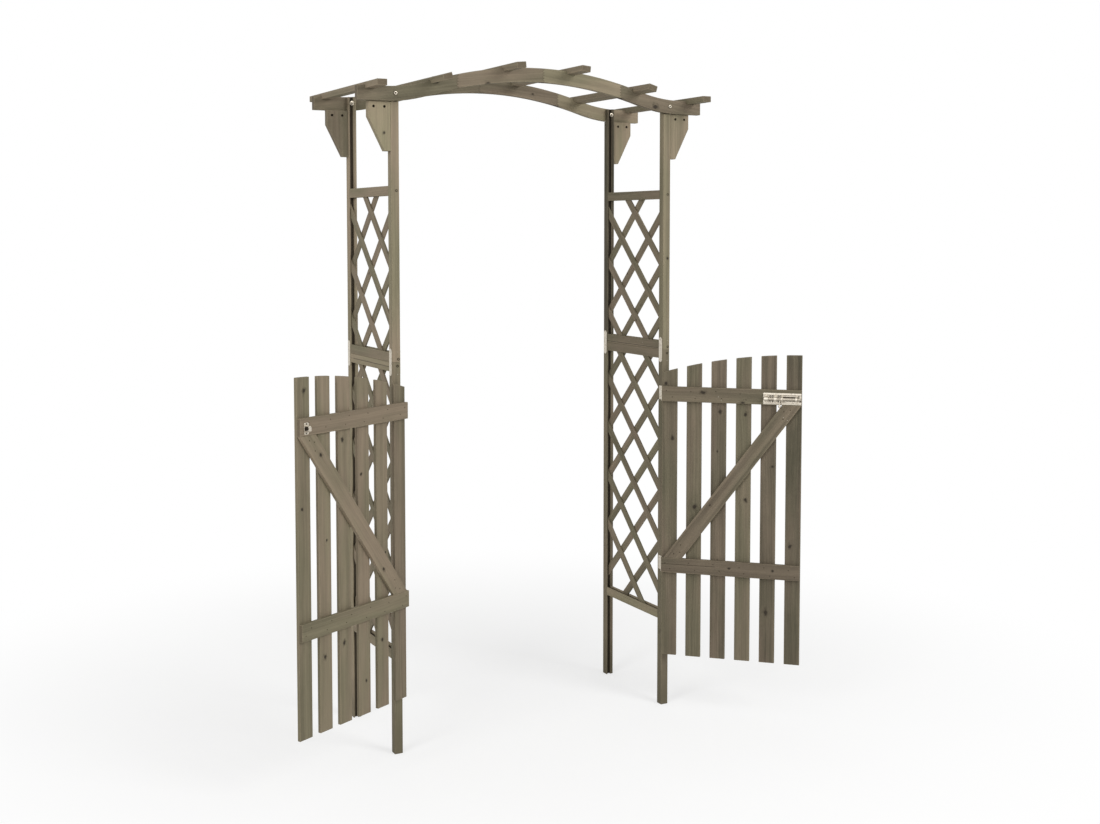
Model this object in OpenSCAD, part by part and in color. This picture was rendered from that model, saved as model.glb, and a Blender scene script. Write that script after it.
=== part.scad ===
// Garden arch with a pair of picket gates.
// Two trellis towers, each of two stacked panels, carry two curved beams and six purlins.
// X runs across the opening, Y from front to back, Z up. The origin lies on the ground, in
// the middle of the opening and of the towers' depth. All sizes are in millimetres.

/* [Towers] */
// Side of the square posts
post = 25; // [20:1:40]
// Clear opening between the left and right posts
opening = 900; // [700:10:1200]
// Depth of a tower over the outer faces of its posts
tower_depth = 376; // [300:2:520]
// Height of the underside of the bottom rail above the ground
leg_h = 280; // [150:10:400]
// Height at which the lower and upper panels meet
joint_z = 1158; // [1000:2:1300]
// Distance from the top of the posts down to the top rail
top_rail_drop = 282; // [250:2:400]
// Height of the rails between the posts
rail_h = 28; // [20:1:45]

/* [Trellis] */
// Width of the groove that holds the trellis
groove_w = 10.6; // [8:0.2:12]
// Depth of that groove
groove_d = 8; // [5:0.5:9]
// Wood left between the groove and the post's left face
groove_lip = 4; // [3:0.5:6]
// Width of a trellis slat
slat_w = 25; // [18:1:32]
// Thickness of one layer of slats
slat_t = 5; // [3:0.5:5]
// Half of the diagonal of a trellis diamond
diamond = 84; // [70:1:100]
// First crossing above the upper panel's bottom rail
upper_cross = -5; // [-10:1:20]
// First crossing below the lower panel's top rail
lower_cross = 8; // [-10:1:20]
// Shortest slat that is fitted
slat_min = 90; // [60:5:120]

/* [Beams and purlins] */
// How far a beam runs past the posts' outer faces
beam_over = 105; // [90:1:150]
// Thickness of a beam
beam_t = 20; // [16:1:28]
// Upright height of a beam's section
beam_h = 42; // [36:1:60]
// Height of a beam's flat ends above the ground, at the top edge
beam_end_z = 1950; // [1880:5:2100]
// Rise of the beam's crown above its ends
beam_rise = 76; // [50:1:100]
// Length over which a beam flares out from the crown's arc to its flat end
flare_len = 146; // [80:2:200]
// How far past the posts' outer faces the flare ends
flare_over = 25; // [0:1:60]
// How far a beam stands out from the posts' faces
beam_proud = 12; // [8:1:14]
// Width of a purlin
purlin_w = 30; // [22:1:40]
// Thickness of a purlin
purlin_t = 18; // [14:1:24]
// Depth of the notches that seat a purlin over the beams
purlin_notch = 9; // [4:1:12]
// Clearance on each side of a beam in a purlin's notch
notch_gap = 0.3; // [0.1:0.1:1]
// How far a purlin runs past the outer face of a beam
purlin_over = 95; // [50:5:140]
// Distance between the two inner purlins
purlin_inner = 216; // [160:2:300]
// Distance from an inner purlin to the next one
purlin_step = 234; // [160:2:300]
// Distance from a beam's end to the middle of the outer purlin
purlin_border = 39; // [20:1:60]

/* [Brackets] */
// Width of a bracket at its top
bracket_w = 68; // [50:1:90]
// Height of a bracket
bracket_h = 142; // [100:2:180]
// Height of the upright outer edge
bracket_edge = 45; // [25:1:60]
// Width of the flat foot
bracket_foot = 19; // [12:1:30]
// Thickness of a bracket
bracket_t = 20; // [15:1:24]

/* [Gates] */
// Clearance beside and between the gates
gate_gap = 6; // [6:0.5:8]
// Number of pickets on a gate
pickets = 6; // [4:1:8]
// Width of the gate boards
board_w = 48; // [40:1:55]
// Thickness of a picket
picket_t = 10; // [8:1:14]
// Thickness of a gate's rails and brace
gate_rail_t = 12; // [10:1:16]
// Height of the pickets' lower ends above the ground
gate_z = 173; // [100:1:250]
// Distance from the posts' joint down to the picket tops at the hinge side
picket_drop = 71; // [60:1:120]
// Rise of the line of picket tops from the hinge side to the middle of the arch
picket_rise = 65; // [20:1:100]
// Underside of a gate's lower rail
lower_gate_rail_z = 444; // [380:2:520]
// Distance from the picket tops at the hinge side down to the top rail
gate_rail_drop = 43; // [30:1:80]
// Distance of the brace's lower end from the gate's hinge edge
brace_inset = 8; // [2:1:20]
// How far the left gate stands open, in degrees
left_open = 152; // [90:1:170]
// How far the right gate stands open, in degrees
right_open = 136; // [90:1:170]

/* [Hardware] */
// Height of a butt hinge
hinge_h = 44; // [36:1:46]
// Width of a hinge leaf
leaf_w = 18; // [12:1:20]
// Thickness of a hinge leaf
leaf_t = 1.5; // [1:0.1:2]
// Radius of a hinge knuckle
knuckle_r = 3; // [2.6:0.1:4]
// Radius of a hinge pin
pin_r = 1.5; // [1.2:0.1:1.8]
// Radial running clearance of pins and rods
running = 0.05; // [0.03:0.01:0.08]
// Length of a joining plate
plate_len = 80; // [60:2:100]
// Width of a joining plate
plate_w = 18; // [12:1:20]
// Thickness of the joining plates and of the latch plates
plate_t = 1.5; // [1:0.1:2.5]
// Length of the barrel bolt's back plate
latch_len = 118; // [110:1:145]
// Height of the barrel bolt's back plate
latch_h = 36; // [24:1:40]
// Radius of the barrel bolt's rod
rod_r = 5; // [3:0.1:6]
// Travel of the barrel bolt's rod
rod_travel = 36; // [32:1:40]

/* [Hidden] */
$fn = 48;

wood = [0.50, 0.46, 0.39];
wood_dark = [0.44, 0.41, 0.34];
zinc = [0.75, 0.74, 0.70];
hair = 0.2;                                   // bite of the two slat layers into each other
seat = 0.4;                                   // gap between a slat's end and the groove's floor
top_rail_z = beam_end_z - top_rail_drop - rail_h;
left_x = -(opening + post) / 2;               // middles of the posts
right_x = (opening + post) / 2;
front_y = -(tower_depth - post) / 2;
back_y = (tower_depth - post) / 2;
bay = tower_depth - 2 * post;                 // clear depth between two posts of a tower
lower_bay_z = leg_h + rail_h;
lower_bay_h = joint_z - rail_h - lower_bay_z;
upper_bay_z = joint_z + rail_h;
upper_bay_h = top_rail_z - upper_bay_z;
groove_x = -post / 2 + groove_lip;            // left wall of the groove, from the post's middle

outer_face = opening / 2 + post;              // outer faces of the posts, from the middle
beam_half = outer_face + beam_over;
flare_half = outer_face + flare_over;         // the flare ends this far from the middle
crown_half = flare_half - flare_len;          // the crown's arc ends this far from the middle
rebate = beam_t - beam_proud;                 // depth of the rebate that a beam lies in
front_beam_y = front_y - post / 2 - beam_proud;   // lower y face of each beam
back_beam_y = back_y + post / 2 - rebate;
beam_slope_max = 2 * beam_rise / flare_half;  // slope where the crown and the flare meet
crown_r = crown_half / beam_slope_max;
flare_r = (flare_half - crown_half) / beam_slope_max;
crown_top = beam_end_z + beam_rise;
shelf_z = beam_bottom(outer_face);            // shelf of the rebate under a beam

gate_start = gate_gap / 2;                    // gate's hinge edge, from the hinge axis
gate_w = (opening - 3 * gate_gap) / 2;
gate_end = gate_start + gate_w;
picket_y = knuckle_r;                         // outer face of the pickets, from the hinge axis
gate_rail_y = picket_y + picket_t;
latch_y = gate_rail_y + gate_rail_t;
axis_y = front_y - post / 2 - knuckle_r;
picket_pitch = (gate_w - board_w) / (pickets - 1);
arc_half = gate_end + gate_gap / 2;           // hinge axis to the middle of the arch
picket_low = joint_z - picket_drop;           // picket tops at the hinge side
picket_high = picket_low + picket_rise;       // and in the middle of the arch
arc_r = (pow(arc_half, 2) + pow(picket_rise, 2)) / (2 * picket_rise);
upper_gate_rail_z = picket_low - gate_rail_drop - board_w;
brace_z = lower_gate_rail_z + board_w;
brace_rise = upper_gate_rail_z - brace_z;
brace_low = gate_start + brace_inset;
brace_span = gate_end - brace_low;
brace_ratio = pow(board_w / brace_rise, 2);
// Level run of the brace's edges, and length of its level end cuts, which keep the board
// board_w wide at right angles to its edges.
brace_run = (brace_span - sqrt(pow(brace_span, 2) - (1 - brace_ratio) * (pow(brace_span, 2) - pow(board_w, 2))))
    / (1 - brace_ratio);
brace_cut = brace_span - brace_run;

guide_w = 8;
guide_front_w = 12;
guide_wall = 2.2;                             // metal outside the rod
guide_h = 2 * rod_r + 8;
rod_y = latch_y + plate_t + rod_r + 2.5;
rod_z = upper_gate_rail_z + 2 + latch_h / 2;
rod_rest = gate_end - 2;                      // tip of the rod when drawn back
rod_len = latch_len - 4;
guide_back = rod_y + rod_r + guide_wall;      // outer face of the guides
neck_r = 2.5;                                 // neck of the hanging knob
knob_r = 4;
knob_below = 6;                               // knob's middle below the back plate
knob_drop = latch_h / 2 + knob_below;
knob_room = 5;                                // neck to middle guide when drawn back
guide_front = gate_end - 6 - guide_front_w;
guide_rear = gate_end - latch_len + 6;
guide_middle = guide_rear + guide_w + 22;
knob_u = guide_middle + guide_w + knob_room + neck_r;
rod_tip = rod_rest + rod_travel - gate_end - gate_gap;   // thrown tip past the left gate's free edge
eye_len = 8;
eye_past = 3;                                 // thrown tip beyond the keeper's eye
eye_start = rod_tip - eye_past;               // far side of the eye, from the left gate's free edge
keeper_border = 6;                            // keeper plate beyond the eye
keeper_start = eye_start + keeper_border;
keeper_end = eye_start - eye_len - 3;
eye = 2 * rod_r + 2;                          // clear width of the keeper's eye
eye_wall = 2.5;

// Height of a beam's top edge at distance x from the middle: a crown arc, then a flare
// arc of opposite curve that meets it at one slope, then flat. The arcs are flat enough
// for a parabola to stand for each.
function beam_top(x) = let (a = abs(x))
    a <= crown_half ? crown_top - a * a / (2 * crown_r) :
    a <= flare_half ? beam_end_z + pow(flare_half - a, 2) / (2 * flare_r) : beam_end_z;
function beam_bottom(x) = beam_top(x) - beam_h;
function beam_slope(x) = let (a = abs(x), s = sign(x))
    a <= crown_half ? -s * a / crown_r :
    a <= flare_half ? -s * (flare_half - a) / flare_r : 0;

// A post between two heights, with the trellis groove on its inner face.
// inward is 1 when the tower lies behind the post and -1 when it lies in front of it.
module post_piece(x, y, z0, z1, inward) {
    color(wood) translate([x, y, 0]) difference() {
        translate([-post / 2, -post / 2, z0]) cube([post, post, z1 - z0]);
        translate([groove_x, inward > 0 ? post / 2 - groove_d : -post / 2 - 1, z0 - 1])
            cube([groove_w, groove_d + 1, z1 - z0 + 2]);
        if (z1 > shelf_z)
            translate([-post / 2 - 1, inward > 0 ? -post / 2 - 1 : post / 2 - rebate, shelf_z])
                cube([post + 2, rebate + 1, z1 - shelf_z + 1]);
    }
}

module lower_post(x, y, inward) post_piece(x, y, 0, joint_z, inward);
module upper_post(x, y, inward) post_piece(x, y, joint_z, beam_end_z, inward);

// A rail between the posts of one tower. groove_up is true when its groove is on top.
module rail(x, z, groove_up) {
    color(wood_dark) translate([x - post / 2, front_y + post / 2, z]) difference() {
        cube([post, bay, rail_h]);
        translate([groove_lip, -1, groove_up ? rail_h - groove_d : -1])
            cube([groove_w, bay + 2, groove_d + 1]);
    }
}

module lower_rails(x) {
    rail(x, leg_h, true);
    rail(x, joint_z - rail_h, false);
}

module upper_rails(x) {
    rail(x, joint_z, true);
    rail(x, top_rail_z, false);
}

// Length of the diagonal through offset c that lies inside a bay of half-width w and height h,
// where c is the height at which the diagonal passes the middle of the bay.
function run(c, w, h) = let (z0 = max(0, c - w), z1 = min(h, c + w)) max(0, z1 - z0) * sqrt(2);

// One layer of slats at 45 degrees: lean is 1 or -1. start is the height of the crossing
// at the side columns, from the bay's lower edge.
module slat_layer(h, start, lean, x0) {
    half = bay / 2;
    rows = ceil((h + half) / diamond) + 2;
    translate([x0, 0, 0]) rotate([90, 0, 90]) linear_extrude(height = slat_t + hair / 2)
        intersection() {
            translate([-half - groove_d + seat, -groove_d + seat])
                square([bay + 2 * (groove_d - seat), h + 2 * (groove_d - seat)]);
            for (k = [-rows : 2 : rows * 2]) {
                c = start + k * diamond + (rows % 2 == 0 ? diamond : 0);
                if (run(c, half, h) > slat_min)
                    translate([0, c]) rotate(45 * lean)
                        square([3 * (bay + h), slat_w], center = true);
            }
        }
}

module trellis(x, z, h, start) {
    color(wood_dark) translate([x, 0, z]) {
        x0 = groove_x + (groove_w - 2 * slat_t) / 2;
        slat_layer(h, start, 1, x0);
        slat_layer(h, start, -1, x0 + slat_t - hair / 2);
    }
}

module lower_trellis(x) trellis(x, lower_bay_z, lower_bay_h, lower_bay_h - lower_cross);
module upper_trellis(x) trellis(x, upper_bay_z, upper_bay_h, upper_cross);

// A curved beam, with its outline in the upright plane and its thickness along Y.
module beam(y) {
    step = 20;
    n = floor(beam_half / step);
    xs = concat([-beam_half], [for (i = [-n : n]) if (abs(i * step) < beam_half - 1) i * step], [beam_half]);
    color(wood) translate([0, y + beam_t, 0]) rotate([90, 0, 0]) linear_extrude(height = beam_t)
        polygon(concat([for (x = xs) [x, beam_top(x)]],
                       [for (i = [len(xs) - 1 : -1 : 0]) [xs[i], beam_bottom(xs[i])]]));
}

module front_beam() beam(front_beam_y);
module back_beam() beam(back_beam_y);

// A purlin notched over both beams at distance x from the middle, turned to the beams' slope.
module purlin(x) {
    length = tower_depth + 2 * (beam_proud + purlin_over);
    color(wood) translate([x, 0, beam_top(x)]) rotate([0, -atan(beam_slope(x)), 0])
        translate([-purlin_w / 2, 0, -purlin_notch]) difference() {
            translate([0, front_beam_y - purlin_over, 0]) cube([purlin_w, length, purlin_t]);
            for (y = [front_beam_y, back_beam_y])
                translate([-1, y - notch_gap, -1]) cube([purlin_w + 2, beam_t + 2 * notch_gap, purlin_notch + 1]);
        }
}

// A bracket under a beam, on the outer side of a post. side is -1 on the left, 1 on the right.
module bracket(side, y) {
    x = side < 0 ? left_x - post / 2 : right_x + post / 2;
    top = beam_bottom(beam_half);
    color(wood) translate([x, y + bracket_t, 0]) rotate([90, 0, 0])
        linear_extrude(height = bracket_t)
            polygon([[0, top], [side * bracket_w, top], [side * bracket_w, top - bracket_edge],
                     [side * bracket_foot, top - bracket_h], [0, top - bracket_h]]);
}

module front_bracket(side) bracket(side, front_y - post / 2);
module back_bracket(side) bracket(side, back_y + post / 2 - bracket_t);

// A flat plate with round ends over the joint of two posts. side picks the post's X face.
module joining_plate(x, y, side) {
    color(zinc) translate([x + side * post / 2, y, joint_z]) rotate([0, 90 * side, 0])
        linear_extrude(height = plate_t)
            union() {
                square([plate_len - plate_w, plate_w], center = true);
                for (s = [-1, 1]) translate([s * (plate_len - plate_w) / 2, 0]) circle(d = plate_w);
            }
}

module joining_plates(x) {
    for (y = [front_y, back_y]) {
        joining_plate(x, y, -1);
        joining_plate(x, y, 1);
    }
}

// Puts a gate's parts in place. The parts are drawn closed, with the hinge axis at x = 0,
// y = 0, the free end towards +X and the rails towards +Y.
module hang_left() {
    translate([left_x + post / 2 + gate_start, axis_y, 0]) rotate([0, 0, -left_open]) children();
}

module hang_right() {
    translate([right_x - post / 2 - gate_start, axis_y, 0]) rotate([0, 0, right_open])
        mirror([1, 0, 0]) children();
}

module gate_pickets() {
    for (i = [0 : pickets - 1])
        color(wood) translate([0, gate_rail_y, 0]) rotate([90, 0, 0]) linear_extrude(height = picket_t)
            intersection() {
                translate([gate_start + i * picket_pitch, gate_z])
                    square([board_w, picket_high + 1 - gate_z]);
                translate([arc_half, picket_high - arc_r]) circle(r = arc_r, $fn = 360);
            }
}

module gate_rail(z) {
    color(wood) translate([gate_start, gate_rail_y, z]) cube([gate_w, gate_rail_t, board_w]);
}

// The diagonal brace, between the two rails, from the hinge side up to the free end.
module gate_brace() {
    color(wood) translate([0, gate_rail_y + gate_rail_t, 0]) rotate([90, 0, 0])
        linear_extrude(height = gate_rail_t)
            polygon([[brace_low, brace_z], [brace_low + brace_cut, brace_z],
                     [gate_end, brace_z + brace_rise], [gate_end - brace_cut, brace_z + brace_rise]]);
}

gate_rail_heights = [lower_gate_rail_z + board_w / 2, upper_gate_rail_z + board_w / 2];
barrel = hinge_h / 3;                         // height of one of the three barrels
barrel_gap = 0.3;

// The hinge half on the post, drawn beside the hinge axis: a leaf on the post's face at
// x = -gate_start, two barrels and the pin.
module post_hinge() {
    color(zinc) union() {
        translate([-gate_start, picket_y + barrel_gap, -hinge_h / 2])
            cube([leaf_t, leaf_w - barrel_gap, hinge_h]);
        for (z = [-hinge_h / 2, hinge_h / 2 - barrel]) translate([0, 0, z]) {
            cylinder(r = knuckle_r, h = barrel);
            translate([-gate_start, 0, 0]) cube([leaf_t, picket_y + 1, barrel]);
        }
        translate([0, 0, -hinge_h / 2]) cylinder(r = pin_r, h = hinge_h);
    }
}

// The hinge half on the gate: a leaf on the gate's edge and the middle barrel with its bore.
module gate_hinge() {
    color(zinc) difference() {
        union() {
            translate([gate_start - leaf_t, picket_y + barrel_gap, -hinge_h / 2])
                cube([leaf_t, leaf_w - barrel_gap, hinge_h]);
            translate([0, 0, -barrel / 2 + barrel_gap]) {
                cylinder(r = knuckle_r, h = barrel - 2 * barrel_gap);
                translate([gate_start - leaf_t, 0, 0])
                    cube([leaf_t, picket_y + 1, barrel - 2 * barrel_gap]);
            }
        }
        translate([0, 0, -hinge_h]) cylinder(r = pin_r + running, h = 2 * hinge_h);
    }
}

module left_post_hinges() {
    for (z = gate_rail_heights) translate([left_x + post / 2 + gate_start, axis_y, z]) post_hinge();
}

module right_post_hinges() {
    for (z = gate_rail_heights)
        translate([right_x - post / 2 - gate_start, axis_y, z]) mirror([1, 0, 0]) post_hinge();
}

module gate_hinges() {
    for (z = gate_rail_heights) translate([0, 0, z]) gate_hinge();
}

// The barrel bolt's back plate and its three guides, on the gate's top rail.
module latch_case() {
    color(zinc) difference() {
        union() {
            translate([gate_end - latch_len, latch_y, rod_z - latch_h / 2])
                cube([latch_len, plate_t, latch_h]);
            for (g = [[guide_front, guide_front_w], [guide_middle, guide_w], [guide_rear, guide_w]])
                translate([g[0], latch_y, rod_z - guide_h / 2]) cube([g[1], guide_back - latch_y, guide_h]);
        }
        translate([gate_end - 2 * latch_len, rod_y, rod_z]) rotate([0, 90, 0])
            cylinder(r = rod_r + running, h = 3 * latch_len);
    }
}

// The barrel bolt's rod with its hanging knob, drawn back.
module latch_rod() {
    color(zinc) union() {
        translate([rod_rest - rod_len, rod_y, rod_z]) rotate([0, 90, 0]) cylinder(r = rod_r, h = rod_len);
        translate([knob_u, rod_y, rod_z - knob_drop]) {
            cylinder(r = neck_r, h = knob_drop);
            sphere(r = knob_r);
        }
    }
}

// The keeper on the left gate: a plate with an eye that the rod enters.
module latch_keeper() {
    color(zinc) difference() {
        union() {
            translate([gate_end - keeper_start, latch_y, rod_z - latch_h / 2 + 2])
                cube([keeper_start - keeper_end, plate_t, latch_h - 4]);
            translate([gate_end - eye_start, latch_y, rod_z - eye / 2 - eye_wall])
                cube([eye_len, rod_y - latch_y + eye / 2 + eye_wall, eye + 2 * eye_wall]);
        }
        translate([gate_end - eye_start - 1, rod_y - eye / 2, rod_z - eye / 2]) cube([eye_len + 2, eye, eye]);
    }
}

lower_post(left_x, front_y, 1);  // left_front_lower_post
upper_post(left_x, front_y, 1);  // left_front_upper_post
lower_post(left_x, back_y, -1);  // left_back_lower_post
upper_post(left_x, back_y, -1);  // left_back_upper_post
lower_post(right_x, front_y, 1);  // right_front_lower_post
upper_post(right_x, front_y, 1);  // right_front_upper_post
lower_post(right_x, back_y, -1);  // right_back_lower_post
upper_post(right_x, back_y, -1);  // right_back_upper_post
lower_rails(left_x);  // left_lower_rails
upper_rails(left_x);  // left_upper_rails
lower_rails(right_x);  // right_lower_rails
upper_rails(right_x);  // right_upper_rails
lower_trellis(left_x);  // left_lower_trellis
upper_trellis(left_x);  // left_upper_trellis
lower_trellis(right_x);  // right_lower_trellis
upper_trellis(right_x);  // right_upper_trellis
front_beam();
back_beam();
purlin(-beam_half + purlin_border);  // purlin_1
purlin(-purlin_inner / 2 - purlin_step);  // purlin_2
purlin(-purlin_inner / 2);  // purlin_3
purlin(purlin_inner / 2);  // purlin_4
purlin(purlin_inner / 2 + purlin_step);  // purlin_5
purlin(beam_half - purlin_border);  // purlin_6
front_bracket(-1);  // left_front_bracket
back_bracket(-1);  // left_back_bracket
front_bracket(1);  // right_front_bracket
back_bracket(1);  // right_back_bracket
joining_plates(left_x);  // left_joining_plates
joining_plates(right_x);  // right_joining_plates
hang_left() gate_pickets();  // left_gate_pickets
hang_left() gate_rail(upper_gate_rail_z);  // left_gate_top_rail
hang_left() gate_rail(lower_gate_rail_z);  // left_gate_lower_rail
hang_left() gate_brace();  // left_gate_brace
hang_right() gate_pickets();  // right_gate_pickets
hang_right() gate_rail(upper_gate_rail_z);  // right_gate_top_rail
hang_right() gate_rail(lower_gate_rail_z);  // right_gate_lower_rail
hang_right() gate_brace();  // right_gate_brace
left_post_hinges();
hang_left() gate_hinges();  // left_gate_hinges
right_post_hinges();
hang_right() gate_hinges();  // right_gate_hinges
hang_right() latch_case();
hang_right() latch_rod();
hang_left() latch_keeper();
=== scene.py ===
import logging
import math
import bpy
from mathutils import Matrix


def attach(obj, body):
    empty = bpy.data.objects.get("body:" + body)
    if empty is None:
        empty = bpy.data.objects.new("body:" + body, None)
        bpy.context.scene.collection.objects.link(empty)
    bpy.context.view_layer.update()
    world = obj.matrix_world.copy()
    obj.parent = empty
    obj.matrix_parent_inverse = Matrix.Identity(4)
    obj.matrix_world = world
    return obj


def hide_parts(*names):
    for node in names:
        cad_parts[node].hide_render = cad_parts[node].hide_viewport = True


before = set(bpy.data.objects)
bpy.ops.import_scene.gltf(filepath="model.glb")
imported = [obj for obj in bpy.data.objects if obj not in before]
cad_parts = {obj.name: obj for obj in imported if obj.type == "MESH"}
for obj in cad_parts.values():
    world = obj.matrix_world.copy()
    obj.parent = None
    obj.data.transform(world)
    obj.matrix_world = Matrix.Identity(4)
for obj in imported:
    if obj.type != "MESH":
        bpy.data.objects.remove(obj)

import zlib
from collections.abc import Sequence
from dataclasses import dataclass, replace
from enum import Enum

import bpy
import numpy as np
from mathutils import Vector
from mathutils.geometry import tessellate_polygon

LOG = logging.getLogger("garden_arch")
X_AXIS, Y_AXIS, Z_AXIS = np.eye(3)
HOLE_POINTS = 14
KNOT_INPUTS = ("Knot 1", "Knot 2", "Knot 3")
Array = np.ndarray
Pair = tuple[float, float]
Triple = tuple[float, float, float]
Colour = tuple[float, float, float, float]
Material = bpy.types.Material
Node = bpy.types.Node
NodeTree = bpy.types.NodeTree
Socket = bpy.types.NodeSocket


class Side(Enum):
    """The two sides of the walkway, with the sign of their x."""

    LEFT = -1
    RIGHT = 1

    @property
    def word(self) -> str:
        """The side's name as it stands in the names of nodes."""
        return self.name.lower()


class Grain(Enum):
    """Which of a slab's own axes the grain runs along, with the order along, across, deep."""

    U = (0, 1, 2)
    V = (1, 0, 2)
    W = (2, 0, 1)


# ---- shapes


@dataclass(frozen=True)
class Place:
    """Where a shape's own axes u, v and w lie in the room."""

    origin: Sequence[float] | Array
    u: Array
    v: Array
    w: Array

    @property
    def axes(self) -> Array:
        """The three axes as the rows of a matrix."""
        return np.stack([self.u, self.v, self.w])

    def moved(self, u: float = 0.0, v: float = 0.0, w: float = 0.0) -> "Place":
        """The same axes with the origin moved along them."""
        return replace(self, origin=self.origin + np.array([u, v, w]) @ self.axes)


@dataclass
class Surface:
    """A closed surface: points, their normals, faces and the masks of a board."""

    points: Array
    normals: Array
    faces: list[list[int]]
    local: Array
    edge: Array
    end: Array
    hollow: Array

    @classmethod
    def put(cls, place: Place, local: Array, normals: Array, faces: list[list[int]],
            edge: Array, hollow: Array) -> "Surface":
        """Puts a shape in its place: each point is the origin plus u, v and w times the axes.

        Args:
            place: Where the axes lie; if they are left-handed, the faces are turned round.
            local: Points in u, v and w.
            normals: Their normals in the same axes.
            faces: Faces by the points' numbers.
            edge: Worn edge mask.
            hollow: Mask of the shade painted into grooves and holes, and of dark joint lines.

        Returns:
            The surface.
        """
        if np.linalg.det(place.axes) < 0:
            faces = [face[::-1] for face in faces]
        return cls(place.origin + local @ place.axes, normals @ place.axes, faces, local, edge,
                   np.zeros(len(local)), hollow)


@dataclass(frozen=True)
class Edges:
    """How edges are rounded and worn.

    corner is the radius of an outline's corners, steps the points of their arcs and
    band the worn width beside them; arris is the radius between face and wall, and
    worn the worn width beside that.
    """

    corner: float
    arris: float
    band: float = 0.004
    worn: float = 0.004
    steps: int = 3


@dataclass(frozen=True)
class Outline:
    """A closed outline, counter-clockwise, whose corners are softened.

    Each point belongs to a sharp corner. At inset d it lies at
    corner - d * miter + slide + curl * rest * (normal - miter), where rest is what the
    inset leaves of the corner's radius, up to the most that fits between its neighbours.
    """

    corner: Array
    miter: Array
    slide: Array
    normal: Array
    curl: Array
    radius: Array
    most: Array
    edge: Array
    grip: Array
    hollow: Array

    def ring(self, inset: float) -> Array:
        """The outline moved inwards.

        Args:
            inset: How far it moves at right angles to its edges.

        Returns:
            Its points, in rows.
        """
        depth = (inset * self.grip)[:, None]
        curl, radius = self.curl[:, None], self.radius[:, None]
        rest = np.clip(radius - curl * depth, 0.2 * radius, self.most[:, None])
        return self.corner - depth * self.miter + self.slide + curl * rest * (self.normal - self.miter)


def soften(corners: Array, edges: Edges, grip: Array | None = None,
           hollow: Array | None = None) -> Outline:
    """Softens the corners of a closed outline.

    Each corner that turns by more than some 20 degrees becomes an arc between the
    normals of its two edges, with one more point on each edge at the width of the worn
    band. The miter of a corner is the sum of the two normals over one plus their dot
    product. Flatter corners stay single points with the mean normal.

    Args:
        corners: The sharp corners, in rows.
        edges: Radius, worn band and number of points of the arcs.
        grip: Share of an inset that each corner follows; all of it where left out.
        hollow: How far each corner lies in a groove, whose shade is painted, or at a dark joint line, from
            0 to 1.

    Returns:
        The softened outline.
    """
    nearly_flat, short_share, band_share = 0.93, 0.3, 0.35
    points = np.asarray(corners, float)
    hold = np.broadcast_to(1.0 if grip is None else grip, len(points))
    # How far each corner takes the painted shade of a groove or a dark joint line.
    deep = np.broadcast_to(0.0 if hollow is None else hollow, len(points))
    after = np.roll(points, -1, axis=0)
    if float(np.sum(points[:, 0] * after[:, 1] - points[:, 1] * after[:, 0])) < 0:
        points, hold, deep = points[::-1], hold[::-1], deep[::-1]
        after = np.roll(points, -1, axis=0)
    length = np.linalg.norm(after - points, axis=1)
    ahead = (after - points) / length[:, None]
    behind = np.roll(ahead, 1, axis=0)
    n1 = np.stack([ahead[:, 1], -ahead[:, 0]], axis=1)
    n0 = np.stack([behind[:, 1], -behind[:, 0]], axis=1)
    dot = np.sum(n0 * n1, axis=1)
    flat = dot > nearly_flat
    turn = behind[:, 0] * ahead[:, 1] - behind[:, 1] * ahead[:, 0]
    miter = (n0 + n1) / (1 + dot)[:, None]
    half = np.sqrt((1 - dot) / (1 + dot))
    before = np.roll(length, 1)
    bend = np.minimum(edges.corner, short_share * np.minimum(length, before) / np.maximum(half, 1e-3))
    tangent = bend * half
    back = np.maximum(np.minimum(edges.band, band_share * before), 1.05 * tangent)
    fore = np.maximum(np.minimum(edges.band, band_share * length), 1.05 * tangent)
    columns = edges.steps + 2
    share = np.concatenate([[0.0], np.linspace(0, 1, edges.steps), [1.0]])[None, :, None]
    normal = n0[:, None] * (1 - share) + n1[:, None] * share
    normal /= np.linalg.norm(normal, axis=2, keepdims=True)
    curl = np.repeat(np.where(flat, 0.0, np.sign(turn))[:, None], columns, axis=1)
    curl[:, [0, -1]] = 0
    slide = np.zeros((len(points), columns, 2))
    slide[:, 0] = -behind * back[:, None]
    slide[:, -1] = ahead * fore[:, None]
    edge = np.ones((len(points), columns))
    edge[:, [0, -1]] = 0
    edge[flat] = 0
    keep = np.ones((len(points), columns), bool)
    keep[flat] = False
    keep[flat, columns // 2] = True
    spread = np.repeat(np.arange(len(points))[:, None], columns, axis=1)[keep]
    most = np.maximum(0.98 * np.minimum(back, fore) / np.maximum(half, 1e-3), bend)
    return Outline(points[spread], miter[spread], slide[keep], normal[keep], curl[keep],
                   bend[spread], most[spread], edge[keep], hold[spread], deep[spread])


@dataclass(frozen=True)
class Hole:
    """A round hole sunk into the upper face of a slab."""

    u: float
    v: float
    radius: float
    depth: float


def stack_faces(rings: int, around: int, start: int = 0) -> Array:
    """Four-sided faces between rings of points that lie one above the other.

    Args:
        rings: Number of rings.
        around: Number of points in a ring.
        start: Index of the first point.

    Returns:
        Rows of four indices, facing outwards for counter-clockwise rings that rise.
    """
    ring = np.arange(rings - 1)[:, None] * around + start
    step = np.arange(around)[None, :]
    following = (step + 1) % around
    return np.stack([ring + step, ring + following, ring + around + following, ring + around + step],
                    axis=2).reshape(-1, 4)


def circle(count: int, first: float = 0.0) -> Array:
    """Points at even steps on a circle of radius 1, from an angle in degrees."""
    turn = np.linspace(0, 2 * math.pi, count, endpoint=False) + math.radians(first)
    return np.stack([np.cos(turn), np.sin(turn)], axis=1)


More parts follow.
